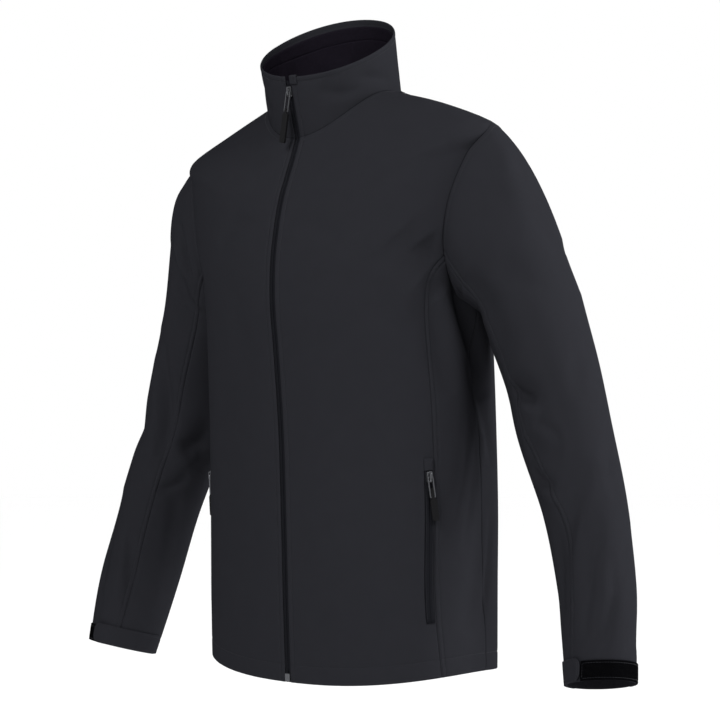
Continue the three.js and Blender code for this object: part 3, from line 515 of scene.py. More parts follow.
def grid_run(points, axis):
    """The distance along a grid's rows or columns, in millimetres, from its first line."""
    run = np.cumsum(np.linalg.norm(np.diff(points, axis=axis), axis=-1), axis=axis)
    return np.concatenate([np.zeros_like(np.take(run, [0], axis=axis)), run], axis=axis)


def lay_columns(place, point, near, far, step):
    """Shares across each row: close together at its ends, evenly spaced between, by real distance."""
    shares = np.linspace(0, 1, 161)
    run = grid_run(point(*np.broadcast_arrays(*place(shares[None, :]))), 1)
    near, far = np.array(near, float), np.array(far, float)
    count = math.ceil((run[:, -1].max() - near[-1] - far[-1]) / step)
    rows = []
    for row in run:
        inner = np.linspace(near[-1], row[-1] - far[-1], count + 1)[1:-1]
        stations = np.concatenate([near, inner, row[-1] - far[::-1]])
        rows.append(np.interp(stations, row, shares))
    return np.array(rows)


def cloth_grid(place, surface, near, far, step=SHELL_STEP):
    """A grid of cloth: place turns shares across its rows into places on a surface, a pair of functions."""
    point, out_of = surface
    a, b = np.broadcast_arrays(*place(lay_columns(place, point, near, far, step)))
    return {"points": point(a, b), "out": out_of(a, b), "a": a, "b": b}


def row_grid(surface, start, end, rows, near, far, sway=0.0, step=SHELL_STEP):
    """A grid whose rows lie at levels, shares or reaches, each from a start turn to an end turn."""
    start, end, rows = (np.asarray(x, float).reshape(-1, 1) for x in (start, end, rows))

    def place(share):
        return start + (end - start) * share + sway, rows

    return cloth_grid(place, surface, near, far, step)


def panel_levels(junction, seam_turn):
    """Rows of a panel from the hem to the neck, with the turn of its far edge at each."""
    hem = np.array(HEM_ROWS) / FRONT_MM_PER_LEVEL
    below = np.concatenate([hem, even(hem[-1], armhole_level(junction), SHELL_STEP / FRONT_MM_PER_LEVEL)])
    angles = np.linspace(junction, SHOULDER, int(abs(junction - SHOULDER) / ARMHOLE_STEP) + 1)
    beside = armhole_level(angles)
    neck = 1 - np.array(NECK_ROWS) / NECK_MM_PER_LEVEL
    above = np.concatenate([even(beside[-1], EVEN_TO, SHOULDER_STEP), neck])
    levels = np.concatenate([below, beside, above])
    ends = np.concatenate([seam_turn(below), armhole_turn(angles), np.full(len(above), ARMHOLE_TURN)])
    return levels, ends


def front_grid(side):
    levels, ends = panel_levels(FRONT_JUNCTION, partial(front_seam_turn, side))
    start = side * turn_at(ZIP_HALF_GAP, levels)
    return row_grid((torso_point, torso_facing), start, side * ends, levels, ZIP_COLUMNS, POCKET_COLUMNS)


def back_grid():
    levels, ends = panel_levels(SIDE_JUNCTION, side_seam_turn)
    surface = (torso_point, torso_facing)
    return row_grid(surface, ends, 2 * math.pi - ends, levels, SEAM_COLUMNS, SEAM_COLUMNS)


def side_grid(side):
    hem = np.array(HEM_ROWS) / (FRONT_MM_PER_LEVEL * SIDE_TOP_LEVEL)
    top = 1 - np.array(SIDE_TOP_ROWS) / SIDE_HEIGHT
    shares = np.concatenate([hem, even(hem[-1], EVEN_TO, SHELL_STEP / SIDE_HEIGHT), top])[:, None]

    def even_turn(up, across):
        front = front_seam_turn(side, up * armhole_level(FRONT_JUNCTION))
        return front + (side_seam_turn(up * armhole_level(SIDE_JUNCTION)) - front) * across

    def place(across):
        angle = FRONT_JUNCTION + 2 * math.pi + (SIDE_JUNCTION - FRONT_JUNCTION - 2 * math.pi) * across
        shift = (armhole_turn(angle) - even_turn(np.ones_like(shares), across)) * shares**6
        return side * (even_turn(shares, across) + shift), shares * armhole_level(angle)

    return cloth_grid(place, (torso_point, torso_facing), SEAM_COLUMNS, SEAM_COLUMNS)


def sleeve_strip(side, start, end, reach, columns, step=SHELL_STEP):
    """A grid round a sleeve, whose rows lie at reaches and turn as its seams sway."""
    sway = np.radians(curve(SEAM_SWAY, HANDS[side], np.maximum(reach, 0)))[:, None]
    surface = (partial(sleeve_point, side), partial(sleeve_facing, side))
    return row_grid(surface, start, end, reach, columns, columns, sway, step)


def sleeve_grid(side, start, end):
    head = np.array(HEAD_ROWS) / HEAD_MM_PER_REACH - 1
    cuff = 1 - np.array(HEM_ROWS[::-1]) / ARM_LENGTH
    between = even(0, cuff[0], SHELL_STEP / ARM_LENGTH)
    reach = np.concatenate([head, even(head[-1], 0, HEAD_STEP), [0.0], between, cuff])
    return sleeve_strip(side, start, end, reach, SEAM_COLUMNS)


def collar_grid():
    start = turn_at(ZIP_HALF_GAP, 1.0)
    foot = np.array(COLLAR_FOOT_ROWS) / COLLAR_HEIGHT
    top = 1 - np.array(COLLAR_TOP_ROWS) / COLLAR_HEIGHT
    shares = np.concatenate([foot, even(foot[-1], top[0], 4.5 / COLLAR_HEIGHT), top])
    surface = (collar_point, collar_facing)
    return row_grid(surface, start, 2 * math.pi - start, shares, ZIP_COLUMNS, ZIP_COLUMNS)


# Meshes
UNDER_DIP = 0.35


def new_mesh(name, vertices, faces):
    """A smooth mesh in the scene, from vertices in millimetres."""
    mesh = bpy.data.meshes.new(name)
    mesh.from_pydata((np.asarray(vertices) * MM).tolist(), [], faces)
    mesh.update()
    mesh.polygons.foreach_set("use_smooth", [True] * len(mesh.polygons))
    return placed(name, mesh)


def shell_piece(name, grid, thickness, dip, under_dip):
    """A closed thin shell on a grid: its outer face sinks by dip, its inner one swells by a part of it."""
    points, out = grid["points"], grid["out"]
    dip = np.broadcast_to(dip, points.shape[:2])
    outer = points - out * dip[..., None]
    inner = points - out * (thickness - np.minimum(dip, thickness) * under_dip)[..., None]
    height, width = points.shape[:2]
    index = np.arange(height * width).reshape(height, width)
    under = index + height * width
    across = points[0, 1] - points[0, 0]
    along = points[1, 0] - points[0, 0]
    flip = float(np.dot(np.cross(across, along), out[0, 0])) < 0

    def quads(a, b, c, d):
        stack = np.stack([a, b, c, d], axis=-1).reshape(-1, 4)
        return stack[:, ::-1] if flip else stack

    def skin(i):
        return i[:-1, :-1], i[:-1, 1:], i[1:, 1:], i[1:, :-1]

    a, b, c, d = skin(under)
    faces = [quads(*skin(index)), quads(a, d, c, b)]
    faces.append(quads(index[0, :-1], under[0, :-1], under[0, 1:], index[0, 1:]))
    faces.append(quads(index[-1, :-1], index[-1, 1:], under[-1, 1:], under[-1, :-1]))
    faces.append(quads(index[:-1, 0], index[1:, 0], under[1:, 0], under[:-1, 0]))
    faces.append(quads(index[:-1, -1], under[:-1, -1], under[1:, -1], index[1:, -1]))
    vertices = np.concatenate([outer.reshape(-1, 3), inner.reshape(-1, 3)])
    piece = new_mesh(name, vertices, np.concatenate(faces).tolist())
    weave = piece.data.uv_layers.new(name="weave")
    u, v = (np.tile(grid_run(points, axis).ravel(), 2) for axis in (1, 0))
    corners = np.zeros(len(piece.data.loops), int)
    piece.data.loops.foreach_get("vertex_index", corners)
    weave.data.foreach_set("uv", np.stack([u[corners], v[corners]], axis=-1).ravel() * MM)
    grid["outer"] = outer
    return piece


def dressed(piece, slot, node):
    """Gives a piece its material slot's finish and its body, and hides the CAD node that it stands for."""
    piece.data.materials.append(FINISHES[slot])
    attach(piece, GARMENT)
    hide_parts(node)


def add_panel(node, grid, dip):
    """One of the shell's panels, in softshell cloth."""
    dressed(shell_piece(f"shell_{node}", grid, CLOTH, dip, UNDER_DIP), "shell_cloth", node)


def add_trim(node, ending, slot, grid, thickness, dip, under_dip=0.0):
    """One of the smaller pieces that lie on the shell or inside it."""
    dressed(shell_piece(f"{node}_{ending}", grid, thickness, dip, under_dip), slot, node)


# Seams
SEAM_REACH = 26.0
STITCH_FAR, FOLD_STITCH, COLLAR_STITCH = 5.5, 6.2, 6.3
# The waves that a seam puckers in: the share of each, its length, the turns of its seed and its start
PUCKERS = [(1.0, 2.1, 1, 0), (0.8, 3.7, 2, 1), (0.9, 7.9, 3, 2)]


def line_run(line):
    """The distance along a polyline of each of its points."""
    return np.concatenate([[0], np.cumsum(np.linalg.norm(np.diff(line, axis=0), axis=1))])


def along_line(at, run, line):
    """What a polyline's values come to at a distance, where run is the distance of each of them."""
    return np.stack([np.interp(at, run, line[:, k]) for k in range(3)], axis=-1)


def fine_line(points, spacing):
    """A polyline's points about a spacing apart, with the distance of each along it."""
    run = line_run(points)
    at = np.linspace(0, run[-1], max(int(run[-1] / spacing), 2) + 1)
    return along_line(at, run, points), at


def bell(value, at, width):
    """1 where a value is at a place, and next to 0 from two widths away."""
    return np.exp(-(((value - at) / width) ** 2))


def step_up(value, at, width):
    """Rises smoothly from 0 to 1 around a value."""
    t = np.clip((value - at) / width + 0.5, 0, 1)
    return t * t * (3 - 2 * t)


def between(value, low, high, width):
    """1 from a low value to a high one, with smooth ends."""
    return step_up(value, low, width) * (1 - step_up(value, high, width))


def seam_dip(grid, edge, profile, pucker=0.0, seed=0.0):
    """How far the cloth sinks beside one edge of a grid: profile turns the distance from it into a depth."""
    points = grid["points"]
    edges = {"near": points[:, 0], "far": points[:, -1], "bottom": points[0], "top": points[-1]}
    line, run = fine_line(edges[edge], 0.5)
    tree = KDTree(len(line))
    for i, point in enumerate(line):
        tree.insert(point, i)
    tree.balance()
    flat = points.reshape(-1, 3)
    low, high = line.min(0) - SEAM_REACH, line.max(0) + SEAM_REACH
    dip = np.zeros(len(flat))
    for i in np.nonzero(np.all((flat > low) & (flat < high), axis=1))[0]:
        _, found, distance = tree.find(flat[i])
        if distance < SEAM_REACH:
            wave = sum(
                share * math.sin(run[found] / length + turns * seed + start)
                for share, length, turns, start in PUCKERS
            )
            dip[i] = profile(distance) + pucker * wave * bell(distance, 3.0, 5.0)
    return dip.reshape(points.shape[:2])


def plain_seam(d):
    return 0.8 * bell(d, 0, 0.75) + 0.15 * bell(d, 0, 3)


def topstitched_seam(d):
    return plain_seam(d) + 0.6 * bell(d, STITCH_FAR, 1.0) - 0.35 * bell(d, 3.1, 1.4)


def angled_seam(d):
    """Shallow, because the two cloths meet at an angle there and a deep seam would gape."""
    return 0.2 * bell(d, 0, 0.9) + 0.4 * bell(d, STITCH_FAR, 1.0)


def folded_edge(d, stitch=FOLD_STITCH):
    return 0.75 * bell(d, 0, 0.55) - 0.25 * bell(d, 3, 2) + 0.45 * bell(d, stitch, 0.85)


def hem_edge(d):
    return 0.75 * bell(d, 0, 0.55) + 0.5 * bell(d, HEM_STITCH, 1.1)


def shallow_above(grid, junction):
    """Brings a seam's depth down where the armhole takes over from it."""
    return 1 - 0.8 * step_up(grid["b"], armhole_level(junction), 0.02)


def pocket_dip(side, grid):
    """The front sinks under the pocket's zip, between two lips."""
    level = grid["b"]
    seam = np.degrees(front_seam_turn(side, level))
    ahead = (seam - np.abs(np.degrees(grid["a"]))) * POCKET_DEGREE
    near, far = POCKET["near"], POCKET["far"]
    sunk = between(ahead, near - 0.2, far + 0.2, 0.8)
    lips = bell(ahead, near - 1.2, 0.8) + bell(ahead, far + 1.6, 1.2)
    stitched = bell(ahead, far + 4.2, 0.7)
    inside = between(level, POCKET["bottom"], POCKET["top"], 0.004)
    return inside * (0.9 * sunk - 0.45 * lips + 0.4 * stitched)


def unevenness(points, seed):
    """A slight unevenness all over, as cloth has when nothing pulls it flat."""
    x, y, z = points[..., 0], points[..., 1], points[..., 2]
    waves = 0.30 * np.sin(x / 19 + z / 47 + seed) * np.sin(z / 31 - y / 23 + 2 * seed)
    return waves + 0.22 * np.sin(x / 11 - z / 17 + 3 * seed) * np.sin(y / 13 + z / 29 + seed)


# Finishes
def finish_material(name, colour, roughness, metallic, specular):
    material = bpy.data.materials.new(name)
    material.use_nodes = True
    shader = material.node_tree.nodes["Principled BSDF"]
    shader.inputs["Base Color"].default_value = (*colour, 1.0)
    shader.inputs["Roughness"].default_value = roughness
    shader.inputs["Metallic"].default_value = metallic
    shader.inputs["Specular IOR Level"].default_value = specular
    return material


def feed(material, socket, value):
    """Links a socket to another one, or sets it to a number."""
    if isinstance(value, bpy.types.NodeSocket):
        material.node_tree.links.new(value, socket)
    else:
        socket.default_value = value


def joined(material, kind, settings=(), **links):
    """A new shader node with its settings, and what feeds each of its inputs: a socket or a number."""
    node = material.node_tree.nodes.new(kind)
    for name, value in settings:
        setattr(node, name, value)
    for name, value in links.items():
        feed(material, node.inputs[name], value)
    return node


def maths(material, operation, first, second):
    node = joined(material, "ShaderNodeMath", [("operation", operation)])
    feed(material, node.inputs[0], first)
    feed(material, node.inputs[1], second)
    return node.outputs[0]


def mixed_colour(material, colour, amount, factor):
    """Feeds the base colour: a colour made darker and lighter by an amount, as a factor runs from 0 to 1."""
    ramp = joined(material, "ShaderNodeValToRGB", Fac=factor)
    for element, way, position in zip(ramp.color_ramp.elements, (-1, 1), (0.3, 0.7)):
        element.color = (*[c * (1 + way * amount) for c in colour], 1)
        element.position = position
    shader = material.node_tree.nodes["Principled BSDF"]
    feed(material, shader.inputs["Base Color"], ramp.outputs["Color"])


def bumped(material, height, strength, distance):
    bump = joined(material, "ShaderNodeBump", Height=height, Strength=strength, Distance=distance)
    shader = material.node_tree.nodes["Principled BSDF"]
    feed(material, shader.inputs["Normal"], bump.outputs["Normal"])


def noise(material, ways, **settings):
    return joined(material, "ShaderNodeTexNoise", Vector=ways, **settings).outputs["Fac"]


def threads_along(material, ways, direction, scale):
    settings = [("wave_type", "BANDS"), ("bands_direction", direction)]
    node = joined(material, "ShaderNodeTexWave", settings, Vector=ways, Scale=scale, Distortion=0.4)
    return node.outputs["Fac"]


# The length of a wave texture's waves at a scale of 1
WAVE_LENGTH = 0.314


def woven(material, colour, thread_mm, strength, mottle=0.06):
    """A plain weave along the cloth's own two ways, with a little unevenness of colour."""
    ways = joined(material, "ShaderNodeUVMap", [("uv_map", "weave")]).outputs["UV"]
    scale = WAVE_LENGTH / (thread_mm * MM)
    warp, weft = (threads_along(material, ways, direction, scale) for direction in "XY")
    threads = maths(material, "MULTIPLY", warp, weft)
    slubs = noise(material, ways, Scale=900.0, Detail=4.0, Roughness=0.7)
    height = maths(material, "ADD", threads, maths(material, "MULTIPLY", slubs, 0.8))
    bumped(material, height, strength, 0.0002)
    patches = noise(material, ways, Scale=45.0, Detail=5.0, Roughness=0.6)
    halves = [maths(material, "MULTIPLY", part, 0.5) for part in (slubs, patches)]
    mixed_colour(material, colour, mottle, maths(material, "ADD", *halves))


def piled(material, colour, size_mm, strength):
    """A pile of small loops."""
    place = joined(material, "ShaderNodeTexCoord").outputs["Object"]
    loops = joined(material, "ShaderNodeTexVoronoi", Vector=place, Scale=1000.0 / size_mm, Randomness=0.8)
    bumped(material, loops.outputs["Distance"], strength, 0.0006)
    mixed_colour(material, colour, 0.35, loops.outputs["Distance"])


# Each finish: its colour, its roughness, how much of it is metal, and its specular level
LOOKS = {
    "shell_cloth": ((0.0056, 0.0057, 0.0068), 0.6, 0.0, 0.0),
    "lining_cloth": ((0.0024, 0.0020, 0.0030), 0.9, 0.0, 0.0),
    "zip_tape": ((0.0030, 0.0031, 0.0038), 0.6, 0.0, 0.0),
    "zip_coil": ((0.006, 0.006, 0.007), 0.38, 0.0, 0.2),
    "grey_metal": ((0.045, 0.046, 0.050), 0.34, 0.9, 0.4),
    "puller_rubber": ((0.0020, 0.0020, 0.0022), 0.42, 0.0, 0.03),
    "loop_tape": ((0.0006, 0.0006, 0.0007), 0.95, 0.0, 0.0),
    "thread": ((0.0072, 0.0074, 0.0089), 0.5, 0.0, 0.05),
}
FINISHES = {name: finish_material(name, *look) for name, look in LOOKS.items()}
woven(FINISHES["shell_cloth"], LOOKS["shell_cloth"][0], 0.42, 0.55)
woven(FINISHES["zip_tape"], LOOKS["zip_tape"][0], 0.6, 0.8, 0.1)
piled(FINISHES["lining_cloth"], LOOKS["lining_cloth"][0], 0.9, 0.5)
piled(FINISHES["loop_tape"], LOOKS["loop_tape"][0], 0.8, 1.0)


# Lines of sewing
STITCH_SIDES = 5
# A stitch's rings: the place of each along it, its share of the radius, and its height above the cloth
STITCH_RINGS = [(-0.5, 0.35, -0.16), (-0.36, 0.9, 0.06), (0, 1, 0.12), (0.36, 0.9, 0.06), (0.5, 0.35, -0.16)]
# The smaller stitches: their pitch, their length and their radius
FINE_STITCH = dict(pitch=2.4, long=1.7, radius=0.16)
POCKET_STITCH = dict(pitch=2.6, long=1.9, radius=0.17)
GARAGE_STITCH = dict(pitch=2.2, long=1.6, radius=0.15)


def line_at(grid, edge, distance, at_start, at_end):
    """A line on a grid, a distance in from an edge and short of its ends: its points and their ways out."""
    axis = 1 if edge in ("near", "far") else 0
    points, out = grid["outer"], grid["out"]
    run = grid_run(grid["points"], axis)
    if axis == 0:
        points, out, run = points.transpose(1, 0, 2), out.transpose(1, 0, 2), run.T
    if edge in ("far", "top"):
        points, out, run = points[:, ::-1], out[:, ::-1], run[:, -1:] - run[:, ::-1]
    line, ways = (
        np.array([along_line(distance, r, row) for r, row in zip(run, rows)]) for rows in (points, out)
    )
    long = line_run(line)
    keep = (long >= at_start) & (long <= long[-1] - at_end)
    return line[keep], unit(ways[keep])


def add_rod(vertices, faces, rings, sides):
    """Adds a closed rod. Each of its rings is a centre with two ways across, as long as its two radii."""
    base = len(vertices)
    for centre, one_way, other_way in rings:
        for s in range(sides):
            turn = 2 * math.pi * s / sides
            vertices.append(centre + one_way * math.cos(turn) + other_way * math.sin(turn))
    last = len(vertices) - sides
    for first in range(base, last, sides):
        for s in range(sides):
            a, b = first + s, first + (s + 1) % sides
            faces.append([a, b, b + sides, a + sides])
    faces.append([base + s for s in range(sides)][::-1])
    faces.append([last + s for s in range(sides)])


def stitches(lines, pitch=3.1, long=2.3, radius=0.2):
    """Vertices and faces of separate stitches that lie along lines, each sunk a little at its ends."""
    vertices, faces = [], []
    for line, ways in lines:
        run = line_run(line)
        for middle in (np.arange(int(run[-1] / pitch)) + 0.5) * pitch:
            way = unit(along_line(middle, run, ways))
            points = [along_line(middle + at * long, run, line) + way * high for at, _, high in STITCH_RINGS]
            aside = unit(np.cross(unit(points[-1] - points[0]), way))
            sizes = [wide * radius for _, wide, _ in STITCH_RINGS]
            rings = [(point, aside * size, way * size) for point, size in zip(points, sizes)]
            add_rod(vertices, faces, rings, STITCH_SIDES)
    return vertices, faces


def add_stitching(name, grid, *lines, **sizes):
    """Rows of stitches on a grid, each with its edge, its distance in, and what is left out at its ends."""
    piece = new_mesh(f"stitching_{name}", *stitches([line_at(grid, *line) for line in lines], **sizes))
    piece.data.materials.append(FINISHES["thread"])
    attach(piece, GARMENT)


# The shell's panels
def add_front(side, hand):
    grid = front_grid(side)
    dip = seam_dip(grid, "near", folded_edge, pucker=0.03, seed=side)
    dip += seam_dip(grid, "far", plain_seam) * shallow_above(grid, FRONT_JUNCTION)
    dip += seam_dip(grid, "top", angled_seam) + seam_dip(grid, "bottom", hem_edge, pucker=0.08, seed=side)
    dip += pocket_dip(side, grid)
    name = f"front_{hand}"
    add_panel(name, grid, dip)
    lines = ("near", FOLD_STITCH, 2, 1), ("bottom", HEM_STITCH, 8, 1), ("top", STITCH_FAR, 7, 1)
    add_stitching(name, grid, *lines)


def add_side(side, hand):
    grid = side_grid(side)
    dip = seam_dip(grid, "near", topstitched_seam, pucker=0.12, seed=side)
    dip += seam_dip(grid, "far", plain_seam, pucker=0.1) + seam_dip(grid, "top", plain_seam) * 0.2
    dip += seam_dip(grid, "bottom", hem_edge, pucker=0.08)
    name = f"side_{hand}"
    add_panel(name, grid, dip)
    add_stitching(name, grid, ("near", STITCH_FAR, 2, 2), ("bottom", HEM_STITCH, 1, 1))


def add_sleeve(side, hand):
    for part, start, end in (("upper", UPPER_FROM, UPPER_TO), ("under", UPPER_TO, UPPER_FROM + 2 * math.pi)):
        grid = sleeve_grid(side, start, end)
        front, behind = ("near", "far") if part == "upper" else ("far", "near")
        front_seam = topstitched_seam if part == "upper" else plain_seam
        dip = seam_dip(grid, front, front_seam, pucker=0.12, seed=side)
        dip += seam_dip(grid, behind, plain_seam, pucker=0.1, seed=side)
        dip += seam_dip(grid, "bottom", angled_seam) + seam_dip(grid, "top", hem_edge)
        name = f"sleeve_{part}_{hand}"
        add_panel(name, grid, dip)
        lines = [("top", HEM_STITCH, 1, 1), ("bottom", STITCH_FAR, 6, 1)]
        if part == "upper":
            lines.append(("near", STITCH_FAR, 2, 2))
        add_stitching(name, grid, *lines)


def add_back():
    grid = back_grid()
    dip = seam_dip(grid, "near", plain_seam, pucker=0.1) + seam_dip(grid, "far", plain_seam, pucker=0.1)
    dip *= shallow_above(grid, SIDE_JUNCTION)
    dip += seam_dip(grid, "bottom", hem_edge, pucker=0.08) + seam_dip(grid, "top", angled_seam)
    add_panel("back", grid, dip)
    add_stitching("back", grid, ("bottom", HEM_STITCH, 1, 1), ("top", STITCH_FAR, 1, 1))


def add_collar():
    grid = collar_grid()
    dip = seam_dip(grid, "near", folded_edge) + seam_dip(grid, "far", folded_edge)
    dip += seam_dip(grid, "top", partial(folded_edge, stitch=COLLAR_STITCH))
    dip += seam_dip(grid, "bottom", plain_seam) * 0.25
    add_panel("collar", grid, dip)
    lines = ("near", FOLD_STITCH, 2, 7), ("far", FOLD_STITCH, 2, 7), ("top", COLLAR_STITCH, 6.5, 6.5)
    add_stitching("collar", grid, *lines)


# Trims
TRIM_EDGE = [0, 0.25, 0.6, 1.1, 1.8, 2.6, 3.4, 4.4]
TAPE_COLUMNS = np.array([0.15, 0.3, 0.6, 1.0, 1.5, 2.1, 2.7, 3.1, 3.5, 4.2, 5.5, 8, 11, 13, 13.6, 14])
COIL_HALF, COIL_PITCH, COIL_SIDES = 3.0, 1.4, 6


def edge_distances(points):
    """The distance of each of a grid's points from its near, far, bottom and top edges."""
    across, along = grid_run(points, 1), grid_run(points, 0)
    return across, across[:, -1:] - across, along, along[-1:] - along


def rounded_edges(points, radius, depth):
    return sum(depth * bell(distance, 0, radius) for distance in edge_distances(points))


def hump(off, at, half):
    """The height of half an ellipse, from 0 to 1."""
    return np.sqrt(np.clip(1 - ((off - at) / half) ** 2, 0, 1))


def lifted(grid, lift):
    grid["points"] = grid["points"] + grid["out"] * np.asarray(lift)[..., None]
    return grid


def centre_grid(distances, levels, shares):
    """A grid down the middle: columns at distances from the centre, rows at levels and then up the collar."""
    points, outs = [], []
    for surface, out_of, places, level in (
        (torso_point, torso_facing, levels, levels),
        (collar_point, collar_facing, shares, np.ones(len(shares))),
    ):
        turn = np.sign(distances) * turn_at(np.abs(distances), level[:, None])
        place = np.broadcast_to(places[:, None], turn.shape)
        points.append(surface(turn, place))
        outs.append(out_of(turn, place))
    return {"points": np.concatenate(points), "out": np.concatenate(outs)}


def add_zip():
    levels = np.linspace(0, 1, 131)
    shares = np.linspace(0, 0.93, 17)[1:]
    for side, hand in HANDS.items():
        grid = lifted(centre_grid(side * TAPE_COLUMNS, levels, shares), -(CLOTH + GAP))
        over_coil = np.where(TAPE_COLUMNS < 3.3, 0.55 * hump(TAPE_COLUMNS, 1.6, 1.7), 0)
        dip = 0.35 * bell(TAPE_COLUMNS, 0.15, 0.3) - over_coil
        name = f"zip_tape_{hand}"
        add_trim(name, "cloth", "zip_tape", grid, TAPE, dip)
        add_stitching(name, grid, ("near", 3.4, 6, 3), **FINE_STITCH)
    columns = np.linspace(-COIL_HALF, COIL_HALF, 5)
    grid = lifted(centre_grid(columns, levels, shares), -(CLOTH + 2 * GAP + TAPE + 0.8))
    line, ways = grid["points"][:, 2], grid["out"][:, 2]
    run = line_run(line)
    vertices, faces = [], []
    for number, here in enumerate(np.arange(1.0, run[-1] - 1.0, COIL_PITCH)):
        point = along_line(here, run, line)
        way = unit(along_line(here, run, ways))
        along = along_line(here + 1, run, line) - point
        aside, along = unit(np.cross(along, way)), unit(along)
        reach = COIL_HALF if number % 2 else COIL_HALF - 0.5
        rings = [
            (point + aside * at * reach + along * 0.22 * at, along * size * 0.75, way * size * 1.2)
            for at, size in ((-1, 0.35), (-0.8, 0.62), (0.8, 0.62), (1, 0.35))
        ]
        add_rod(vertices, faces, rings, COIL_SIDES)
    dressed(new_mesh("zip_coil_turns", vertices, faces), "zip_coil", "zip_coil")


def pocket_grid(side, levels, ahead):
    """A grid beside the front's side seam: its columns lie at distances ahead of it, its rows at levels."""
    ahead, level = np.broadcast_arrays(ahead, levels[:, None])
    turn = side * (front_seam_turn(side, level) - np.radians(ahead / POCKET_DEGREE))
    return {"points": torso_point(turn, level), "out": torso_facing(turn, level)}


def add_pocket(side, hand):
    near, far = POCKET["near"], POCKET["far"]
    middle = (near + far) / 2
    ahead = [near, 2.2, 2.5, 3, 4, 5, 5.5, 6.0, 6.3, 6.5, 6.7, 7.0, 7.5, 8, 9, 10, 10.5, 10.8, far]
    levels = np.linspace(POCKET["bottom"], POCKET["top"], 44)
    grid = lifted(pocket_grid(side, levels, ahead), GAP + TAPE - 0.1)
    off = np.abs(np.array(ahead) - middle)
    dip = 0.45 * bell(off, 0, 0.25) - 0.35 * hump(off, 1.3, 1.35)
    dip = dip + np.where(off > 3.9, 0.35 * ((off - 3.9) / 0.6) ** 2, 0)
    add_trim(f"pocket_zip_{hand}", "tape", "zip_tape", grid, TAPE - 0.1, dip)
    add_stitching(f"pocket_{hand}", grid, ("near", 0.9, 1, 1), ("far", 0.9, 1, 1), **POCKET_STITCH)
    across, up, brim = np.linspace(-1, 1, 17), np.linspace(0, 1, 12), 0.8
    levels = POCKET["garageFoot"] + (POCKET["garageTop"] - POCKET["garageFoot"]) * up
    grid = pocket_grid(side, levels, middle + across * ((far - near) / 2 + brim))
    arch = (1 - np.abs(across) ** 5) * (1 - np.clip((up[:, None] - 0.75) / 0.25, 0, 1) ** 3)
    grid = lifted(grid, 0.9 + (2 * GAP + TAPE + TRIM - 0.9) * arch)
    name = f"pocket_garage_{hand}"
    add_trim(name, "hood", "shell_cloth", grid, 0.9, rounded_edges(grid["points"], 0.4, 0.25))
    add_stitching(name, grid, ("bottom", 1.6, 1, 1), **GARAGE_STITCH)


# The strips at the cuffs: where they start and end round the sleeve, and the reach at which each starts
RING_STEP = math.radians(12.2)
LOOP_FROM, LOOP_TO, LOOP_TOP = FRONT_JUNCTION + 2 * RING_STEP, UPPER_TO, 0.953
TAB_FROM, TAB_TOP = math.radians(253.43), 0.944
TAB_CORNER, CUFF_RADIUS, CUFF_STEP = 9.0, 40.0, 3.0


def strip_rows(tall):
    """Rows of a strip this tall, as shares of it, close together at both its edges."""
    edge = np.array(TRIM_EDGE) / tall
    return np.concatenate([edge, even(edge[-1], 1 - edge[-1], 2.2 / tall), 1 - edge[::-1]])


def cuff_strip(side, start, end, top, rows):
    return sleeve_strip(side, start, end, top + (1 - top) * rows, TRIM_EDGE, CUFF_STEP)


def add_cuff(side, hand):
    rows = strip_rows((1 - LOOP_TOP) * ARM_LENGTH)
    grid = lifted(cuff_strip(side, LOOP_FROM, LOOP_TO, LOOP_TOP, rows), GAP + TRIM)
    dip = rounded_edges(grid["points"], 0.5, 0.5)
    dip += sum(0.35 * bell(distance, 2.6, 0.7) for distance in edge_distances(grid["points"]))
    name = f"cuff_loop_{hand}"
    add_trim(name, "strip", "loop_tape", grid, TRIM, dip, UNDER_DIP)
    add_stitching(name, grid, *[(edge, 2.6, 2.6, 2.6) for edge in ("near", "far", "bottom", "top")])
    tall = (1 - TAB_TOP) * ARM_LENGTH
    rows = strip_rows(tall)
    end = 2 * math.pi + FRONT_JUNCTION + (2 if side > 0 else 4) * RING_STEP
    from_corner = np.clip(TAB_CORNER - np.minimum(rows, 1 - rows) * tall, 0, TAB_CORNER)
    cut = TAB_CORNER - np.sqrt(TAB_CORNER**2 - from_corner**2)
    grid = cuff_strip(side, TAB_FROM, end - cut / CUFF_RADIUS, TAB_TOP, rows)
    over_loop = step_up(np.degrees(grid["a"]), 348.4, 9)
    grid = lifted(grid, GAP + TRIM + (GAP + TRIM) * over_loop)
    dip = rounded_edges(grid["points"], 0.5, 0.5)
    dip += sum(0.3 * bell(distance, 3.4, 0.8) for distance in edge_distances(grid["points"])[1:])
    name = f"cuff_tab_{hand}"
    add_trim(name, "cloth", "shell_cloth", grid, TRIM, dip, UNDER_DIP)
    add_stitching(name, grid, ("far", 3.4, 3.4, 3.4), ("bottom", 3.4, 1, 3.4), ("top", 3.4, 1, 3.4))


def add_lining():
    start = turn_at(13.0, 1.0)
    # The rows lie close together round the seam that runs along the lining at a share of 0.7
    by_seam = [0.675, 0.685, 0.692, 0.70, 0.708, 0.716, 0.73]
    shares = np.concatenate([np.linspace(0.04, 0.66, 22), by_seam, np.linspace(0.75, 0.9, 10)])
    turn, share = np.meshgrid(np.linspace(start, 2 * math.pi - start, 120), shares)
    out = collar_facing(turn, share)
    grid = {"points": collar_point(turn, share) - out * (CLOTH + GAP + LINING), "out": -out}
    dip = rounded_edges(grid["points"], 1.2, 0.6)
    dip += 0.7 * bell(share, 0.70, 0.008) - 0.35 * np.clip((share - 0.70) / 0.05, 0, 1)
    dip += unevenness(grid["points"], 2.0) * 0.8
    add_trim("collar_lining", "knit", "lining_cloth", grid, LINING - 0.15, dip)


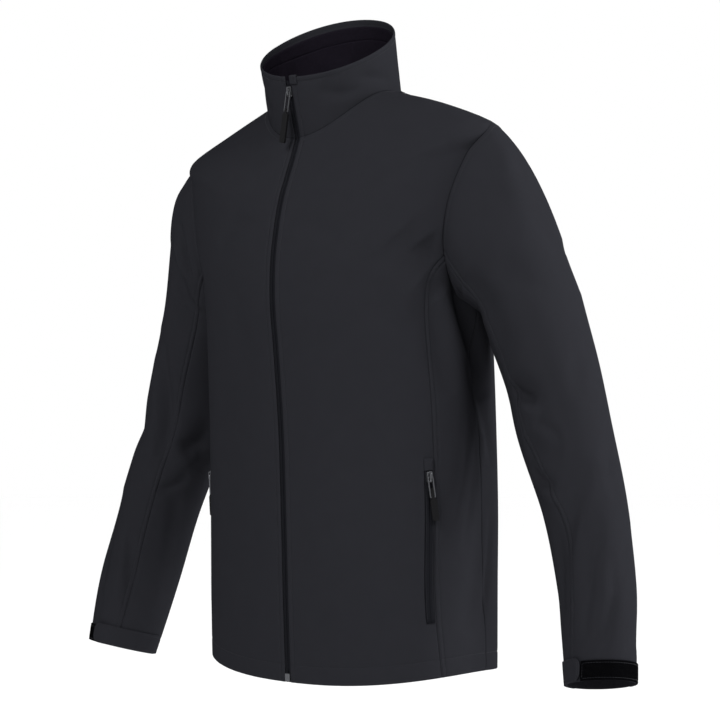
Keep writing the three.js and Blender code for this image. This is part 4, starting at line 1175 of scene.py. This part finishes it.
def add_chin_guard():
    turns = turn_at(np.linspace(4.0, 14.0, 11), 1.0)
    outside, inside = GAP + TRIM, -(CLOTH + 2 * GAP + TAPE + TRIM)
    middle, half = (outside + inside) / 2, (outside - inside) / 2
    # It runs up the outside, over the collar's edge and down the inside
    profile = [(share, outside, 0.0, 1.0, 0.0) for share in np.linspace(0.87, 0.995, 7)]
    for phi in np.linspace(0, math.pi, 11):
        over = 1.9 * math.sin(phi) ** 0.8
        profile.append((1.0, middle + half * math.cos(phi), over, math.cos(phi), math.sin(phi)))
    profile += [(share, inside, 0.0, -1.0, 0.0) for share in np.linspace(0.995, 0.87, 7)]
    points, outs = [], []
    edge = collar_point(turns, np.ones_like(turns))
    upwards = unit(edge - collar_point(turns, np.full_like(turns, 0.9)))
    for share, lift, up, out, rise in profile:
        shares = np.full_like(turns, share)
        away = collar_facing(turns, shares)
        points.append(collar_point(turns, shares) + away * lift + upwards * up)
        outs.append(unit(away * out + upwards * rise))
    grid = {"points": np.array(points), "out": np.array(outs)}
    add_trim("chin_guard", "cloth", "shell_cloth", grid, 1.1, rounded_edges(grid["points"], 0.6, 0.45))
    add_stitching("chin_guard", grid, ("far", 1.8, 2, 2), **FINE_STITCH)


def dress_hardware():
    """The CAD's own zip heads and box stay, with their edges eased."""
    eased = {"slider": 0.35, "pull": 0.3, "puller": 0.7, "box": 0.5}
    for name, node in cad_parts.items():
        kind = name.split("_")[-1]
        if kind not in eased:
            continue
        finish = "puller_rubber" if kind == "puller" else "grey_metal"
        node.data.materials.clear()
        node.data.materials.append(FINISHES[finish])
        weld = node.modifiers.new("weld", "WELD")
        weld.merge_threshold = 0.00002
        ease = node.modifiers.new("ease", "BEVEL")
        ease.width = eased[kind] * MM
        ease.segments = 3
        ease.limit_method = "ANGLE"
        ease.angle_limit = math.radians(28)


add_camera()
for each_side, each_hand in HANDS.items():
    for add_piece in (add_front, add_side, add_sleeve, add_pocket, add_cuff):
        add_piece(each_side, each_hand)
for add_piece in (add_back, add_collar, add_lining, add_chin_guard, add_zip, dress_hardware):
    add_piece()


# Light and backdrop
def add_area(name, position, target, size, power):
    data = bpy.data.lights.new(name, "AREA")
    data.shape = "DISK"
    data.size = size
    data.energy = power
    lamp = placed(name, data)
    lamp.location = position
    lamp.rotation_euler = (Vector(target) - Vector(position)).to_track_quat("-Z", "Y").to_euler()


def add_world():
    world = bpy.data.worlds.new("world")
    bpy.context.scene.world = world
    world.use_nodes = True
    world.node_tree.nodes["Background"].inputs["Color"].default_value = (1, 1, 1, 1)
    world.node_tree.nodes["Background"].inputs["Strength"].default_value = 1.0


def add_floor():
    """A plain pale floor, as far below the hem as a standing wearer would put it."""
    edge, height = 60.0, -1.5
    mesh = bpy.data.meshes.new("floor")
    corners = [(x * edge, y * edge, height) for x, y in ((-1, -1), (1, -1), (1, 1), (-1, 1))]
    mesh.from_pydata(corners, [], [(0, 1, 2, 3)])
    mesh.materials.append(finish_material("floor_paint", (1.0, 1.0, 1.0), 0.9, 0.0, 0.5))
    floor = placed("floor", mesh)


# The cut of each sheet that shows: its width, its length and its area, in metres, with no hidden allowances,
# then how it is held and what it rests on. A name with {} stands for the left piece and then the right one.
CUTS = {
    "shell_back": (0.575, 0.755, 0.347, "hung", "shell_collar"),
    "shell_front_left": (0.27, 0.72, 0.142, "hung", "shell_back"),
    "shell_front_right": (0.28, 0.72, 0.147, "hung", "shell_back"),
    "shell_side_left": (0.09, 0.495, 0.037, "hung", "shell_front_left"),
    "shell_side_right": (0.075, 0.485, 0.029, "hung", "shell_front_right"),
    "shell_sleeve_upper_{}": (0.225, 0.71, 0.114, "hung", "shell_front_{}"),
    "shell_sleeve_under_{}": (0.195, 0.595, 0.087, "hung", "shell_side_{}"),
    "shell_collar": (0.49, 0.083, 0.038, "hung", "shell_back"),
    "collar_lining_knit": (0.45, 0.07, 0.0305, "hung", "shell_collar"),
    "chin_guard_cloth": (0.012, 0.024, 0.00027, "folded", "zip_tape_left_cloth"),
    "zip_tape_{}_cloth": (0.014, 0.735, 0.0102, "hung", "shell_front_{}"),
    "pocket_zip_{}_tape": (0.0105, 0.188, 0.0018, "laid", "shell_front_{}"),
    "pocket_garage_{}_hood": (0.012, 0.0155, 0.00018, "laid", "pocket_zip_{}_tape"),
    "cuff_loop_{}_strip": (0.113, 0.0215, 0.0024, "laid", "shell_sleeve_upper_{}"),
    "cuff_tab_left_cloth": (0.071, 0.025, 0.0017, "laid", "shell_sleeve_under_left"),
    "cuff_tab_right_cloth": (0.089, 0.025, 0.0022, "laid", "shell_sleeve_under_right"),
}


def declare_sheet(name, width, length, area, held, holder):
    """Works out the stem of a sheet's name, and keeps nothing of it."""
    stem = name.replace("shell_", "").replace("pocket_zip", "pocket")
    for ending in ("_cloth", "_strip", "_hood", "_knit", "_tape"):
        stem = stem.removesuffix(ending)


for cut_name, (*cut, cut_holder) in CUTS.items():
    for each_hand in HANDS.values() if "{}" in cut_name else [""]:
        declare_sheet(cut_name.format(each_hand), *cut, cut_holder.format(each_hand))
add_world()
add_area("key", (0.0, -2.6, 1.5), (0, 0, -0.35), 1.5, 235)
add_area("top_left", (2.5, -0.6, 1.6), (0.2, 0, -0.3), 0.9, 190)
add_area("rim", (1.9, 1.5, 0.2), (0.25, 0, -0.35), 0.7, 200)
add_area("back", (-1.9, 2.4, 1.3), (0, 0, -0.35), 1.5, 210)
add_floor()
bpy.context.scene.view_settings.view_transform = "Standard"
